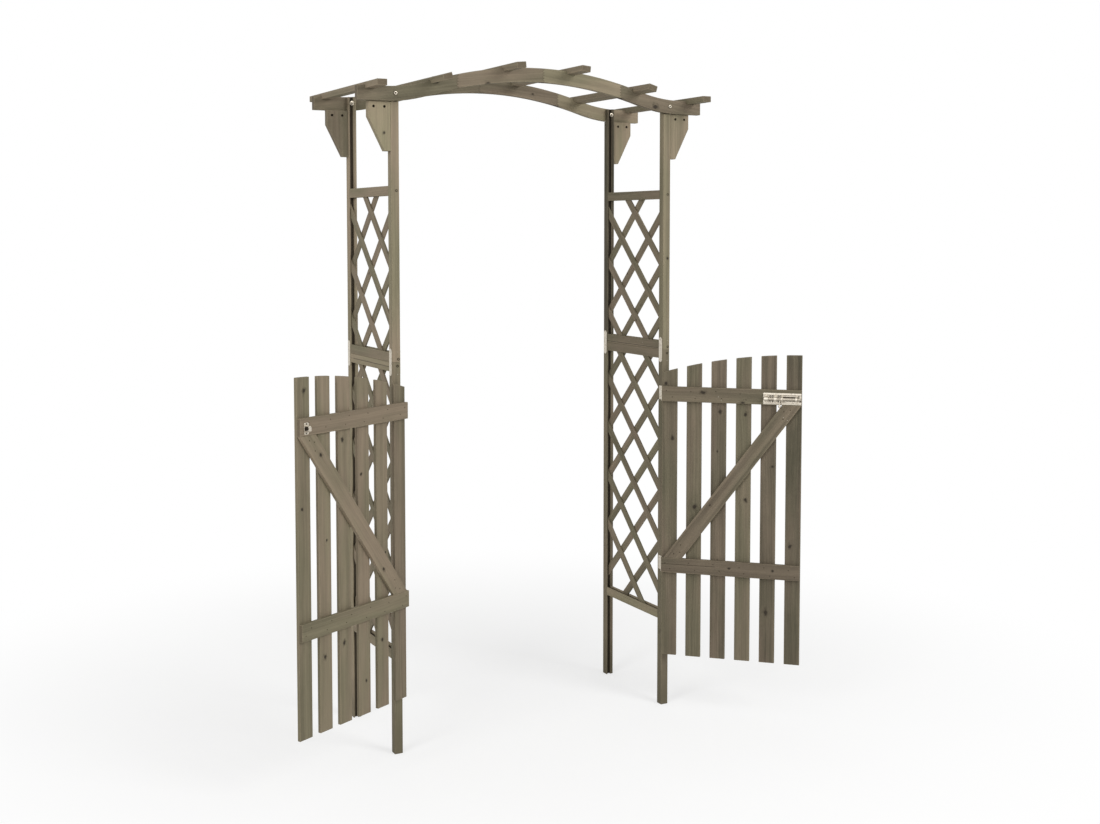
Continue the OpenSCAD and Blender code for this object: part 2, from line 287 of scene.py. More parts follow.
def slab(corners: Array, low: float, high: float, place: Place, edges: Edges,
         grip: Array | None = None, hollow: Array | None = None,
         rounded: tuple[bool, bool] = (True, True), holes: Sequence[Hole] = ()) -> Surface:
    """A board or plate: an outline in u and v carried from one w to another.

    Rings of the softened outline are stacked: flat face, quarter-round arris, wall,
    arris and flat face again. On an arris of radius a, at angle t, the inset is
    a * (1 - sin t) and the level lies a * (1 - cos t) from the face.

    Args:
        corners: The sharp corners, in rows.
        low: Level of the lower face.
        high: Level of the upper face.
        place: Where the axes u, v and w lie.
        edges: How the edges are rounded.
        grip: Share of an inset that each corner follows.
        hollow: How far each corner lies in a groove, whose shade is painted, or at a dark joint line.
        rounded: Whether the lower and the upper face have an arris.
        holes: Holes sunk into the upper face.

    Returns:
        The closed surface.
    """
    outline = soften(corners, edges, grip, hollow)
    arris, band = edges.arris, edges.worn
    reach = min(band, 0.3 * (high - low - 2 * arris)) if band > 0 else 0.0
    angles = np.radians([0.0, 45.0, 90.0])
    side_edge = 0.7 if band > 0 else 0.0
    # The fifth column is the share of the painted groove shade and of the joint lines that each ring takes.
    bow = np.stack([arris * (1 - np.sin(angles)), arris * (1 - np.cos(angles)), -np.cos(angles),
                    np.array([side_edge, 1.0, side_edge]), np.array([0.35, 0.8, 1.0])], axis=1)
    sharp = np.array([[0.0, 0.0, -1.0, 0.0, 1.0], [0.0, 0.0, 0.0, 0.0, 1.0]])
    inner = np.array([[arris + band, 0.0, -1.0, 0.0, 0.0]])
    worn = np.array([[0.0, arris + reach, 0.0, 0.0, 1.0]])
    soft = np.concatenate([inner, bow, worn]) if band > 0 else bow
    lower, upper = soft if rounded[0] else sharp, (soft if rounded[1] else sharp)[::-1]
    inset, level, lean, level_edge, level_shade_and_seam = np.concatenate([
        np.column_stack([lower[:, 0], low + lower[:, 1], lower[:, 2:]]),
        np.column_stack([upper[:, 0], high - upper[:, 1], -upper[:, 2], upper[:, 3:]])]).T
    rings, around = len(inset), len(outline.corner)
    local = np.concatenate([np.column_stack([outline.ring(float(d)), np.full(around, w)])
                            for d, w in zip(inset, level)])
    tilt, level_edge = np.repeat(lean, around), np.repeat(level_edge, around)
    normals = np.column_stack([np.tile(outline.normal, (rings, 1)) * np.sqrt(1 - tilt ** 2)[:, None], tilt])
    wall = np.abs(tilt) < 0.9
    edge = np.where(wall, np.maximum(level_edge, np.tile(outline.edge, rings)), level_edge)
    # Painted shade on the walls and floors of grooves, and dark joint lines.
    sunk = np.repeat(level_shade_and_seam, around) * np.tile(outline.hollow, rings)
    faces = stack_faces(rings, around).tolist()
    faces.append(list(range(around))[::-1])
    top = np.arange(around) + (rings - 1) * around
    if holes:
        local, normals = sink_holes(holes, high, local, normals, faces, top)
        edge = np.concatenate([edge, np.zeros(len(local) - len(edge))])
        # Painted shade that deepens down each hole.
        sunk = np.concatenate([sunk, np.tile(np.repeat([0.0, 0.9, 1.0], HOLE_POINTS), len(holes))])
    else:
        faces.append(top.tolist())
    return Surface.put(place, local, normals, faces, edge, sunk)


def sink_holes(holes: Sequence[Hole], high: float, local: Array, normals: Array,
               faces: list[list[int]], top: Array) -> tuple[Array, Array]:
    """Sinks round holes into a slab's upper face.

    A hole is three rings of points, at the face, half a millimetre further in and at
    its floor, and the floor itself. The face around them is cut into triangles.

    Args:
        holes: The holes.
        high: Level of the upper face.
        local: The slab's points so far.
        normals: Their normals.
        faces: The slab's faces, to which the new ones are added.
        top: Indices of the upper face's rim.

    Returns:
        Points and normals with three rings of rows added for each hole.
    """
    count, lip, lip_tilt = HOLE_POINTS, 0.0005, 0.3
    ring = circle(count)
    turned = np.concatenate([np.tile(Z_AXIS, (count, 1)),
                             *[np.column_stack([-ring, np.full(count, tilt)]) for tilt in (lip_tilt, 0.0)]])
    turned /= np.linalg.norm(turned, axis=1, keepdims=True)
    loops, rims = [local[top]], [top]
    for hole in holes:
        start = len(local)
        spans = ((hole.radius + lip, high), (hole.radius, high - lip), (hole.radius, high - hole.depth))
        rows = np.concatenate([np.column_stack([np.array([hole.u, hole.v]) + ring * radius,
                                                np.full(count, level)]) for radius, level in spans])
        local, normals = np.concatenate([local, rows]), np.concatenate([normals, turned])
        faces.extend(stack_faces(3, count, start).tolist())
        faces.append(list(range(start + 2 * count, start + 3 * count)))
        loops.append(rows[:count])
        rims.append(np.arange(start, start + count))
    index, flat = np.concatenate(rims), np.concatenate(loops)[:, :2]
    cut = np.array(tessellate_polygon([[Vector(point) for point in loop] for loop in loops]))
    triangles, corners = index[cut], flat[cut]
    first, second = corners[:, 1] - corners[:, 0], corners[:, 2] - corners[:, 0]
    down = first[:, 0] * second[:, 1] - first[:, 1] * second[:, 0] < 0
    triangles[down] = triangles[down][:, ::-1]
    faces.extend(triangles.tolist())
    return local, normals


def turned_form(profile: Sequence[Sequence[float]] | Array, place: Place, around: int = 20) -> Surface:
    """A turned form: a profile of radius and height swung about the w axis.

    A point of the profile and an angle t give (r cos t, r sin t, h). The profile
    starts and ends on the axis, where a fan of triangles closes it.

    Args:
        profile: Rows of radius and height, from the lower pole to the upper one.
        place: Where the axes lie; w is the axis of turning.
        around: Number of points round the axis.

    Returns:
        The closed surface.
    """
    profile = np.asarray(profile, float)
    slope = np.gradient(profile, axis=0)
    across = np.stack([slope[:, 1], -slope[:, 0]], axis=1)
    across /= np.maximum(np.linalg.norm(across, axis=1, keepdims=True), 1e-9)
    body, lean = profile[1:-1], across[1:-1]

    def swung(rows: Array, poles: Sequence[float]) -> Array:
        """Rows of radius and height swung round, with the two poles at the end."""
        flat = (rows[:, None, :1] * circle(around)[None]).reshape(-1, 2)
        return np.column_stack([np.concatenate([flat, np.zeros((2, 2))]),
                                np.concatenate([np.repeat(rows[:, 1], around), poles])])

    local, normals = swung(body, profile[[0, -1], 1]), swung(lean, (-1.0, 1.0))
    count = len(body) * around
    last = count - around
    step = np.arange(around)
    following = (step + 1) % around
    faces = stack_faces(len(body), around).tolist()
    faces += np.stack([following, step, np.full(around, count)], axis=1).tolist()
    faces += np.stack([last + step, last + following, np.full(around, count + 1)], axis=1).tolist()
    return Surface.put(place, local, normals, faces, np.zeros(len(local)), np.zeros(len(local)))


def ribbon(path: Array, thick: float) -> Array:
    """The outline of a strip of sheet metal bent along an open path.

    Each point of the path gives two, half the thickness to either side along its
    miter, and the two runs are joined into one closed outline.

    Args:
        path: Rows of points along the middle of the strip.
        thick: Thickness of the sheet.

    Returns:
        The corners of the outline.
    """
    step = np.diff(path, axis=0)
    step /= np.linalg.norm(step, axis=1, keepdims=True)
    normal = np.stack([-step[:, 1], step[:, 0]], axis=1)
    before = np.concatenate([normal[:1], normal])
    after = np.concatenate([normal, normal[-1:]])
    miter = (before + after) / (1 + np.sum(before * after, axis=1))[:, None]
    return np.concatenate([path + miter * thick / 2, (path - miter * thick / 2)[::-1]])


def arc_path(middle: Pair, radius: float, start: float, stop: float,
             count: int) -> Array:
    """Points on an arc: middle + radius * (cos t, sin t), t in even steps of degrees."""
    turn = np.radians(np.linspace(start, stop, count))
    return np.array(middle) + radius * np.stack([np.cos(turn), np.sin(turn)], axis=1)


def rectangle(u0: float, u1: float, v0: float, v1: float) -> Array:
    """The corners of a rectangle, counter-clockwise."""
    return np.array([[u0, v0], [u1, v0], [u1, v1], [u0, v1]])


def clip(polygon: Array, normal: Array, limit: float) -> Array:
    """Cuts a convex polygon with a straight line.

    What lies at normal . p <= limit stays. Where an edge crosses the line, the point
    that divides it in the ratio of the two distances is added.

    Args:
        polygon: Corners in order.
        normal: Direction at right angles to the line, outwards.
        limit: Distance of the line from the origin.

    Returns:
        The corners that are left, in order.
    """
    if len(polygon) == 0:
        return polygon
    inside = limit - polygon @ normal
    following, other = np.roll(polygon, -1, axis=0), np.roll(inside, -1)
    share = inside / np.where(np.abs(inside - other) < 1e-12, 1.0, inside - other)
    crossing = polygon + (following - polygon) * share[:, None]
    both = np.stack([polygon, crossing], axis=1).reshape(-1, 2)
    keep = np.stack([inside >= 0, (inside >= 0) != (other >= 0)], axis=1).reshape(-1)
    return both[keep]


# ---- boards and pieces


@dataclass(frozen=True)
class Knot:
    """A knot in a board: place along and across the board, and radius."""

    along: float
    across: float
    radius: float


@dataclass(frozen=True)
class Look:
    """What sets one board apart from the next.

    light is a share added to its lightness, partly the board's own tone and partly
    painted light and shade for how brightly the board is lit; hue runs from greenish
    grey at 0 to warm brown at 1, and a crack runs between two places along the board at
    one across.
    """

    light: float = 0.0
    hue: float = 0.5
    knots: tuple[Knot, ...] = ()
    crack: Triple = (0.0, 0.0, 9.0)


@dataclass
class Board:
    """A piece of wood: its surface, the grain's own coordinates, and its look."""

    surface: Surface
    grain: Array
    look: Look
    key: str

    def rows(self) -> dict[str, Sequence[float]]:
        """The board's own numbers: its stretch of figure, lightness, hue, crack and three knots.

        Small chances that follow from the board's name are added to its look.

        Returns:
            Three numbers for each attribute, by its name.
        """
        draw, look = dice(self.key), self.look
        shift = draw.uniform(0, 40), draw.uniform(-0.028, 0.028), draw.uniform(0.014, 0.05)
        light, hue = look.light + draw.uniform(-0.035, 0.035), look.hue + draw.uniform(-0.12, 0.12)
        rows = {"board_shift": shift, "board_look": (light, hue, draw.uniform(0.8, 1.25)),
                "board_crack": look.crack}
        far_away = Knot(0.0, 9.0, 0.0001)
        for number, knot in enumerate((*look.knots, far_away, far_away, far_away)[:3], 1):
            rows[f"knot_{number}"] = (knot.along, knot.across, knot.radius)
        return rows


def board(surface: Surface, grain: Grain | Array, look: Look, key: str,
          start: Sequence[float] = (0.0, 0.0, 0.0)) -> Board:
    """Gives a surface its grain.

    The grain's coordinates are the distances along, across and deep from a start
    point. The end mask is the square of the normal's share along the grain.

    Args:
        surface: The board's surface.
        grain: The slab's axis along the grain, or three rows along, across and deep.
        look: The board's look.
        key: A name from which the board's own stretch of figure is drawn.
        start: Start of the coordinates in the slab's own axes.

    Returns:
        The board.
    """
    basis = np.eye(3)[list(grain.value)] if isinstance(grain, Grain) else grain
    axis = np.linalg.lstsq(surface.local - surface.local.mean(0), surface.points - surface.points.mean(0),
                           rcond=None)[0]
    along = basis[0] @ axis
    surface.end = (surface.normals @ (along / np.linalg.norm(along))) ** 2
    return Board(surface, (surface.local - np.array(start)) @ basis.T, look, key)


def dice(key: str) -> np.random.Generator:
    """A random generator that gives the same numbers for the same name each time."""
    return np.random.default_rng(zlib.crc32(key.encode()))


def add_object(name: str, data: bpy.types.ID) -> bpy.types.Object:
    """Puts an object into the scene.

    Args:
        name: Name of the object.
        data: Its mesh, lamp or camera.

    Returns:
        The object, at the origin.
    """
    made = bpy.data.objects.new(name, data)
    bpy.context.scene.collection.objects.link(made)
    return made


def make_mesh(name: str, surfaces: Sequence[Surface]) -> bpy.types.Object:
    """Makes one object of several closed surfaces, with their own normals.

    Args:
        name: Name of the object.
        surfaces: The surfaces, which don't share points.

    Returns:
        The object.
    """
    starts = np.cumsum([0] + [len(s.points) for s in surfaces])
    faces = [[i + int(start) for i in face] for s, start in zip(surfaces, starts) for face in s.faces]
    mesh = bpy.data.meshes.new(name)
    mesh.from_pydata(np.concatenate([s.points for s in surfaces]).tolist(), [], faces)
    mesh.shade_smooth()
    mesh.normals_split_custom_set_from_vertices(np.concatenate([s.normals for s in surfaces]).tolist())
    return add_object(name, mesh)


def settle(piece: bpy.types.Object, finish: Material, body: str, nodes: Sequence[str]) -> None:
    """Gives a piece its material and body, hides the nodes that it stands for, and logs it.

    Args:
        piece: The finished object.
        finish: Its material.
        body: The body that it rides on.
        nodes: The nodes that it stands for, if any.
    """
    piece.data.materials.append(finish)
    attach(piece, body)
    if nodes:
        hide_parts(*nodes)
    LOG.info("%s: %d points on %s", piece.name, len(piece.data.vertices), body)


def wood_piece(name: str, boards: Sequence[Board], finish: Material, nodes: Sequence[str],
               body: str = "frame") -> None:
    """Makes a piece of one or more boards, with their grain and looks as attributes.

    Args:
        name: Name of the piece.
        boards: Its boards.
        finish: Its material.
        nodes: The nodes that it stands for.
        body: The body that it rides on.
    """
    piece = make_mesh(name, [b.surface for b in boards])
    values = {"grain_place": np.concatenate([b.grain for b in boards])}
    for mask in ("edge", "end", "hollow"):
        values[f"board_{mask}"] = np.concatenate([getattr(b.surface, mask) for b in boards])
    rows, counts = [b.rows() for b in boards], [len(b.surface.points) for b in boards]
    for key in rows[0]:
        values[key] = np.repeat(np.array([row[key] for row in rows], float), counts, axis=0)
    for key, value in values.items():
        kind, field = ("FLOAT_VECTOR", "vector") if value.ndim == 2 else ("FLOAT", "value")
        layer = piece.data.attributes.new(key, kind, "POINT")
        layer.data.foreach_set(field, value.astype(np.float32).ravel())
    settle(piece, finish, body, nodes)


def metal_piece(name: str, surfaces: Sequence[Surface], finish: Material, body: str = "frame",
                nodes: Sequence[str] = ()) -> None:
    """Makes a piece of sheet metal, rod, screws or nails, and hides the nodes that it stands for."""
    settle(make_mesh(name, surfaces), finish, body, nodes)


# ---- fasteners


@dataclass(frozen=True)
class Head:
    """The size of a nail's, screw's or bolt's head."""

    radius: float
    rise: float

    def turned(self, place: Place, shares: Sequence[float], levels: Sequence[float],
               around: int) -> Surface:
        """A turned head, given as shares of its radius and of its rise from pole to pole."""
        profile = np.stack([np.array(shares) * self.radius, np.array(levels) * self.rise], axis=1)
        return turned_form(profile, place, around)


def nail_head(place: Place, head: Head = Head(0.0016, 0.0005)) -> Surface:
    """A nail's round head, a low dome that is sunk a little into the wood."""
    return head.turned(place, (0, 1, 1, 0.7, 0), (-0.6, -0.6, 0.2, 0.8, 1), 8)


def screw_head(place: Place, head: Head, turn: float) -> Surface:
    """A countersunk screw's head with a cross recess.

    The head is a disc on a polar grid. Inside the arms of the cross, where the lesser
    of the two coordinates is under a sixth of the radius and the greater under six
    tenths, the surface lies deeper by a third of the radius.

    Args:
        place: Where the head lies; w points out of the wood.
        head: Its size.
        turn: Angle of the cross.

    Returns:
        The closed surface.
    """
    surface = head.turned(place, (0, 0.9, 1, 0.93, 0.62, 0.58, 0.3, 0.17, 0),
                          (-1, -1, 0.4, 1, 1.05, 1.05, 1.05, 1.05, 1.05), 16)
    u, v, w = surface.local.T
    spin = np.arctan2(v, u) + turn
    reach = np.hypot(u, v) / head.radius
    arms = reach * np.abs([np.cos(spin), np.sin(spin)])
    cross = (arms.max(0) < 0.6) & (arms.min(0) < 0.17) & (w > 0)
    surface.local[:, 2] -= np.where(cross, 0.33 * head.radius, 0.0)
    surface.points = place.origin + surface.local @ place.axes
    return surface


def socket_bolt_head(place: Place, head: Head) -> Surface:
    """A bolt's rounded head with a round socket sunk into it."""
    return head.turned(place, (0, 0.97, 1, 1, 0.93, 0.78, 0.58, 0.46, 0.42, 0.41, 0),
                       (-0.4, -0.4, -0.1, 0.44, 0.76, 0.94, 1, 0.96, 0.84, 0.24, 0.24), 24)


def hex_nut(place: Place, flats: float = 0.008, high: float = 0.004) -> list[Surface]:
    """A washer, a six-sided nut and the bolt's end that stands out of it.

    Args:
        place: Where the washer lies; w points out of the wood.
        flats: Width of the nut across its flats.
        high: Height of the nut.

    Returns:
        The three surfaces.
    """
    rim, end, washer, stub = flats * 0.85, 0.42 * flats * 0.72, 0.0012, high + 0.003
    corners = flats / math.sqrt(3) * circle(6, 12)
    return [turned_form([(0, -0.0005), (rim - 0.0002, -0.0005), (rim, 0.0004), (rim - 0.0003, washer),
                         (0, washer + 0.0001)], place, 24),
            slab(corners, washer, high + washer, place, Edges(0.0004, 0.0005, 0.001, 0.0)),
            turned_form([(0, high * 0.5), (end, high * 0.5), (end, stub - 0.0008), (end - 0.0006, stub),
                         (0, stub)], place, 14)]


# ---- shader tools


class Graph:
    """Adds nodes to one shader tree and wires them up."""

    def __init__(self, tree: NodeTree) -> None:
        """Keeps the tree that the nodes go into."""
        self.tree = tree

    def node(self, kind: str, inputs: dict[str | int, object] | None = None,
             **settings: object) -> Node:
        """Adds a node.

        Args:
            kind: Type name of the node.
            inputs: Values or sockets for its inputs, by name or number.
            **settings: Settings of the node itself.

        Returns:
            The node.
        """
        made = self.tree.nodes.new(kind)
        for key, value in settings.items():
            setattr(made, key, value)
        self.feed(made, inputs or {})
        return made

    def feed(self, node: Node, inputs: dict[str | int, object]) -> None:
        """Links sockets into a node's inputs, or sets the inputs' values, by name or number."""
        for key, value in inputs.items():
            if isinstance(value, Socket):
                self.tree.links.new(value, node.inputs[key])
            else:
                node.inputs[key].default_value = value

    def group(self, tree: NodeTree, inputs: dict[str | int, object]) -> Sequence[Socket]:
        """Adds a group and gives its outputs."""
        return self.node("ShaderNodeGroup", inputs, node_tree=tree).outputs

    def math(self, operation: str, *values: object, clamp: bool = False) -> Socket:
        """One step of arithmetic on numbers."""
        return self.node("ShaderNodeMath", dict(enumerate(values)), operation=operation,
                         use_clamp=clamp).outputs[0]

    def fold(self, operation: str, first: object, *others: object) -> Socket:
        """One operation carried from left to right over several numbers."""
        for other in others:
            first = self.math(operation, first, other)
        return first

    def plus(self, *values: object) -> Socket:
        """The sum of numbers."""
        return self.fold("ADD", *values)

    def less(self, *values: object) -> Socket:
        """The first number less the others."""
        return self.fold("SUBTRACT", *values)

    def times(self, *values: object) -> Socket:
        """The product of numbers."""
        return self.fold("MULTIPLY", *values)

    def most(self, *values: object) -> Socket:
        """The greatest of the numbers."""
        return self.fold("MAXIMUM", *values)

    def distance(self, first: Socket, second: Socket) -> Socket:
        """The root of the sum of two squares."""
        return self.math("SQRT", self.plus(self.times(first, first), self.times(second, second)))

    def swing(self, value: Socket, width: float) -> Socket:
        """A number from 0 to 1 carried over to a range of some width about 0."""
        return self.times(self.less(value, 0.5), width)

    def split(self, vector: Socket) -> Sequence[Socket]:
        """The three numbers of a vector."""
        return self.node("ShaderNodeSeparateXYZ", {0: vector}).outputs

    def join(self, x: object, y: object = 0.0, z: object = 0.0) -> Socket:
        """A vector of three numbers."""
        return self.node("ShaderNodeCombineXYZ", {0: x, 1: y, 2: z}).outputs[0]

    def vector(self, operation: str, inputs: dict[str | int, object]) -> Socket:
        """One step of arithmetic on vectors; LENGTH gives a number."""
        made = self.node("ShaderNodeVectorMath", inputs, operation=operation)
        return made.outputs["Value" if operation == "LENGTH" else "Vector"]

    def noise(self, place: Socket, scale: float, detail: float = 3.0, rough: float = 0.55) -> Socket:
        """Smooth noise from 0 to 1."""
        return self.node("ShaderNodeTexNoise", {"Vector": place, "Scale": scale, "Detail": detail,
                                                "Roughness": rough}).outputs[0]

    def drawn(self, place: Socket, scales: Triple, detail: float = 3.0,
              rough: float = 0.6) -> Socket:
        """Noise with its own scale along each axis."""
        return self.noise(self.vector("MULTIPLY", {0: place, 1: scales}), 1.0, detail, rough)

    def span(self, value: object, low: float, high: float, start: float = 0.0, stop: float = 1.0) -> Socket:
        """Carries one range over to another with a smooth step."""
        return self.node("ShaderNodeMapRange", {"Value": value, "From Min": low, "From Max": high,
                                                "To Min": start, "To Max": stop},
                         interpolation_type="SMOOTHSTEP").outputs[0]

    def mix(self, share: object, first: object, second: object) -> Socket:
        """Mixes two colours."""
        return self.node("ShaderNodeMix", {0: share, 6: first, 7: second}, data_type="RGBA",
                         clamp_factor=True).outputs[2]

    def cover(self, colour: object, coats: Sequence[tuple[Socket, float, Colour]]) -> Socket:
        """Covers a colour with coats in turn, each a mask, its strength and its colour."""
        for mask, strength, coat in coats:
            colour = self.mix(self.times(mask, strength), colour, coat)
        return colour

    def read(self, name: str, output: str = "Vector") -> Socket:
        """An attribute of the mesh; the output Fac gives it as a number."""
        return self.node("ShaderNodeAttribute", attribute_name=name).outputs[output]

    def room(self) -> Socket:
        """The place in the object's own axes."""
        return self.node("ShaderNodeTexCoord").outputs["Object"]

    def seen(self) -> Socket:
        """1 for rays from the camera, and for what shows in reflections and through glass."""
        ray = self.node("ShaderNodeLightPath").outputs
        return self.most(ray["Is Camera Ray"], ray["Is Glossy Ray"], ray["Is Transmission Ray"])

    def show(self, output: str, share: Socket, first: Node, second: Node) -> None:
        """Mixes two shaders and links them into the tree's output."""
        blend = self.node("ShaderNodeMixShader", {0: share, 1: first.outputs[0], 2: second.outputs[0]})
        self.feed(self.tree.nodes[output], {"Surface": blend.outputs[0]})

    def bump(self, height: Socket, strength: float, distance: float) -> Socket:
        """Normals bent by a relief."""
        return self.node("ShaderNodeBump", {"Height": height, "Strength": strength,
                                            "Distance": distance}).outputs[0]


def new_material(name: str) -> tuple[Material, Graph, Node]:
    """Starts a material.

    Args:
        name: Name of the material.

    Returns:
        The material, its graph and its Principled shader.
    """
    material = bpy.data.materials.new(name)
    material.use_nodes = True
    return material, Graph(material.node_tree), material.node_tree.nodes["Principled BSDF"]


def new_group(name: str, vectors: Sequence[str], numbers: Sequence[str],
              results: Sequence[str]) -> tuple[Graph, Sequence[Socket], Node]:
    """Starts a shader node group.

    Args:
        name: Name of the group.
        vectors: Names of the inputs that are vectors.
        numbers: Names of the inputs that are numbers, which follow them.
        results: Names of the outputs, which are numbers.

    Returns:
        The graph of the group, what is given to it, and its output node.
    """
    tree = bpy.data.node_groups.new(name, "ShaderNodeTree")
    for keys, way, kind in ((vectors, "INPUT", "Vector"), (numbers, "INPUT", "Float"),
                            (results, "OUTPUT", "Float")):
        for key in keys:
            tree.interface.new_socket(name=key, in_out=way, socket_type=f"NodeSocket{kind}")
    graph = Graph(tree)
    return graph, graph.node("NodeGroupInput").outputs, graph.node("NodeGroupOutput")


def knot_group() -> NodeTree:
    """A knot: its dark core, the shade round it, and how far it pushes the grain aside.

    The distance is measured on an ellipse a third longer along the grain and bent by
    noise. Near the knot the grain's across coordinate is drawn towards its middle, so
    that the lines bow round it.

    Returns:
        The group, with outputs Core, Rim and Push.
    """
    graph, given, result = new_group("Knot in the grain", ("Place", "Knot"), (), ("Core", "Rim", "Push"))
    along, across, _ = graph.split(given["Place"])
    middle, beside, radius = graph.split(given["Knot"])
    far = graph.math("DIVIDE", graph.less(along, middle), 1.35)
    off = graph.less(across, beside)
    uneven = graph.span(graph.noise(given["Place"], 95.0, 2.0), 0.25, 0.75, 0.65, 1.4)
    near = graph.times(graph.math("DIVIDE", graph.distance(far, off), radius), uneven)
    reach = graph.math("EXPONENT", graph.times(near, near, -0.22))
    graph.feed(result, {"Core": graph.span(near, 0.45, 0.95, 1.0, 0.0),
                        "Rim": graph.span(near, 0.5, 1.7, 0.8, 0.0), "Push": graph.times(off, reach, -0.6)})
    return graph.tree


def timber_group(knot: NodeTree) -> NodeTree:
    """The figure of a sawn board, from its grain coordinates.

    Growth rings are shells about a pith line beside the board, so that a face shows
    long arches and an end shows arcs. Streaks and fibres are noise drawn out along the
    grain. A crack is a thin wavering line between two places along the board.

    Args:
        knot: The knot group.

    Returns:
        The group, with outputs Rings, Streaks, Fibres, Patches, Knots, Rims and Crack.
    """
    graph, given, result = new_group(
        "Sawn timber figure", ("Place", "Shift", "Crack", *KNOT_INPUTS), (),
        ("Rings", "Streaks", "Fibres", "Patches", "Knots", "Rims", "Crack"))
    along, across, deep = graph.split(given["Place"])
    knots = [graph.group(knot, {"Place": given["Place"], "Knot": given[key]}) for key in KNOT_INPUTS]
    bowed = graph.plus(across, *[made["Push"] for made in knots])
    start, pith_across, pith_deep = graph.split(given["Shift"])
    run = graph.plus(along, start)
    bent = graph.join(run, bowed, deep)
    wave = graph.swing(graph.drawn(bent, (2.2, 9.0, 9.0), 3.0, 0.55), 0.022)
    beside = graph.plus(bowed, pith_across, wave)
    radius = graph.distance(beside, graph.plus(deep, pith_deep))
    uneven = graph.swing(graph.drawn(graph.join(run, radius), (0.8, 120.0, 0.0), 2.0, 0.55), 0.0035)
    turns = graph.math("FRACT", graph.math("DIVIDE", graph.plus(radius, uneven), 0.0031))
    streaks = graph.drawn(graph.join(run, beside, deep), (1.5, 70.0, 70.0), 4.0)
    fibres = graph.drawn(bent, (22.0, 900.0, 900.0))
    patches = graph.drawn(bent, (3.2, 14.0, 14.0), 3.0, 0.5)
    first, last, line = graph.split(given["Crack"])
    stray = graph.swing(graph.drawn(graph.join(run), (9.0, 0.0, 0.0), 4.0, 0.7), 0.0022)
    gap = graph.math("ABSOLUTE", graph.plus(graph.less(across, line), stray))
    inside = graph.times(graph.math("GREATER_THAN", along, first), graph.math("LESS_THAN", along, last))
    graph.feed(result, {
        "Rings": graph.times(graph.math("POWER", turns, 2.2), graph.span(turns, 0.9, 1.0, 1.0, 0.0)),
        "Streaks": graph.span(streaks, 0.25, 0.75), "Fibres": graph.span(fibres, 0.25, 0.75),
        "Patches": graph.span(patches, 0.28, 0.72), "Knots": graph.most(*[made["Core"] for made in knots]),
        "Rims": graph.most(*[made["Rim"] for made in knots]),
        "Crack": graph.times(graph.span(gap, 0.0003, 0.0011, 1.0, 0.0), inside)})
    return graph.tree


def wear_group() -> NodeTree:
    """The group for wear along the arrises: the edge mask broken up by noise, as Wear."""
    graph, given, result = new_group("Worn arrises", ("Place",), ("Edge", "Spread"), ("Wear",))
    broken = graph.drawn(given["Place"], (40.0, 320.0, 320.0))
    level = graph.plus(given["Edge"], graph.less(broken, given["Spread"]))
    graph.feed(result, {"Wear": graph.span(level, 0.3, 1.0)})
    return graph.tree


def grime_group() -> NodeTree:
    """The group for damp and splashes near the ground, as Damp, and thin dust, as Dust."""
    graph, given, result = new_group("Damp and dust", ("Place",), (), ("Damp", "Dust"))
    high = graph.split(given["Place"])[2]
    level = graph.less(high, graph.times(graph.noise(given["Place"], 24.0, 4.0, 0.6), 0.14))
    dust = graph.noise(given["Place"], 7.0, 5.0, 0.65)
    graph.feed(result, {"Damp": graph.span(level, -0.04, 0.1, 1.0, 0.0),
                        "Dust": graph.span(dust, 0.42, 0.72)})
    return graph.tree


def spangle_group() -> NodeTree:
    """The group for a zinc coating, with its Crystals, fine Scratches and dull Spots."""
    graph, given, result = new_group("Zinc coating", ("Place",), (), ("Crystals", "Scratches", "Spots"))
    place = given["Place"]
    cells = graph.node("ShaderNodeTexVoronoi", {"Vector": place, "Scale": 520.0, "Randomness": 1.0})
    scratches = graph.drawn(place, (2600.0, 260.0, 2600.0), 2.0, 0.7)
    graph.feed(result, {"Crystals": graph.split(cells.outputs["Color"])[0],
                        "Scratches": graph.span(scratches, 0.55, 0.75),
                        "Spots": graph.span(graph.noise(place, 160.0, 4.0, 0.6), 0.5, 0.72)})
    return graph.tree


# ---- finishes


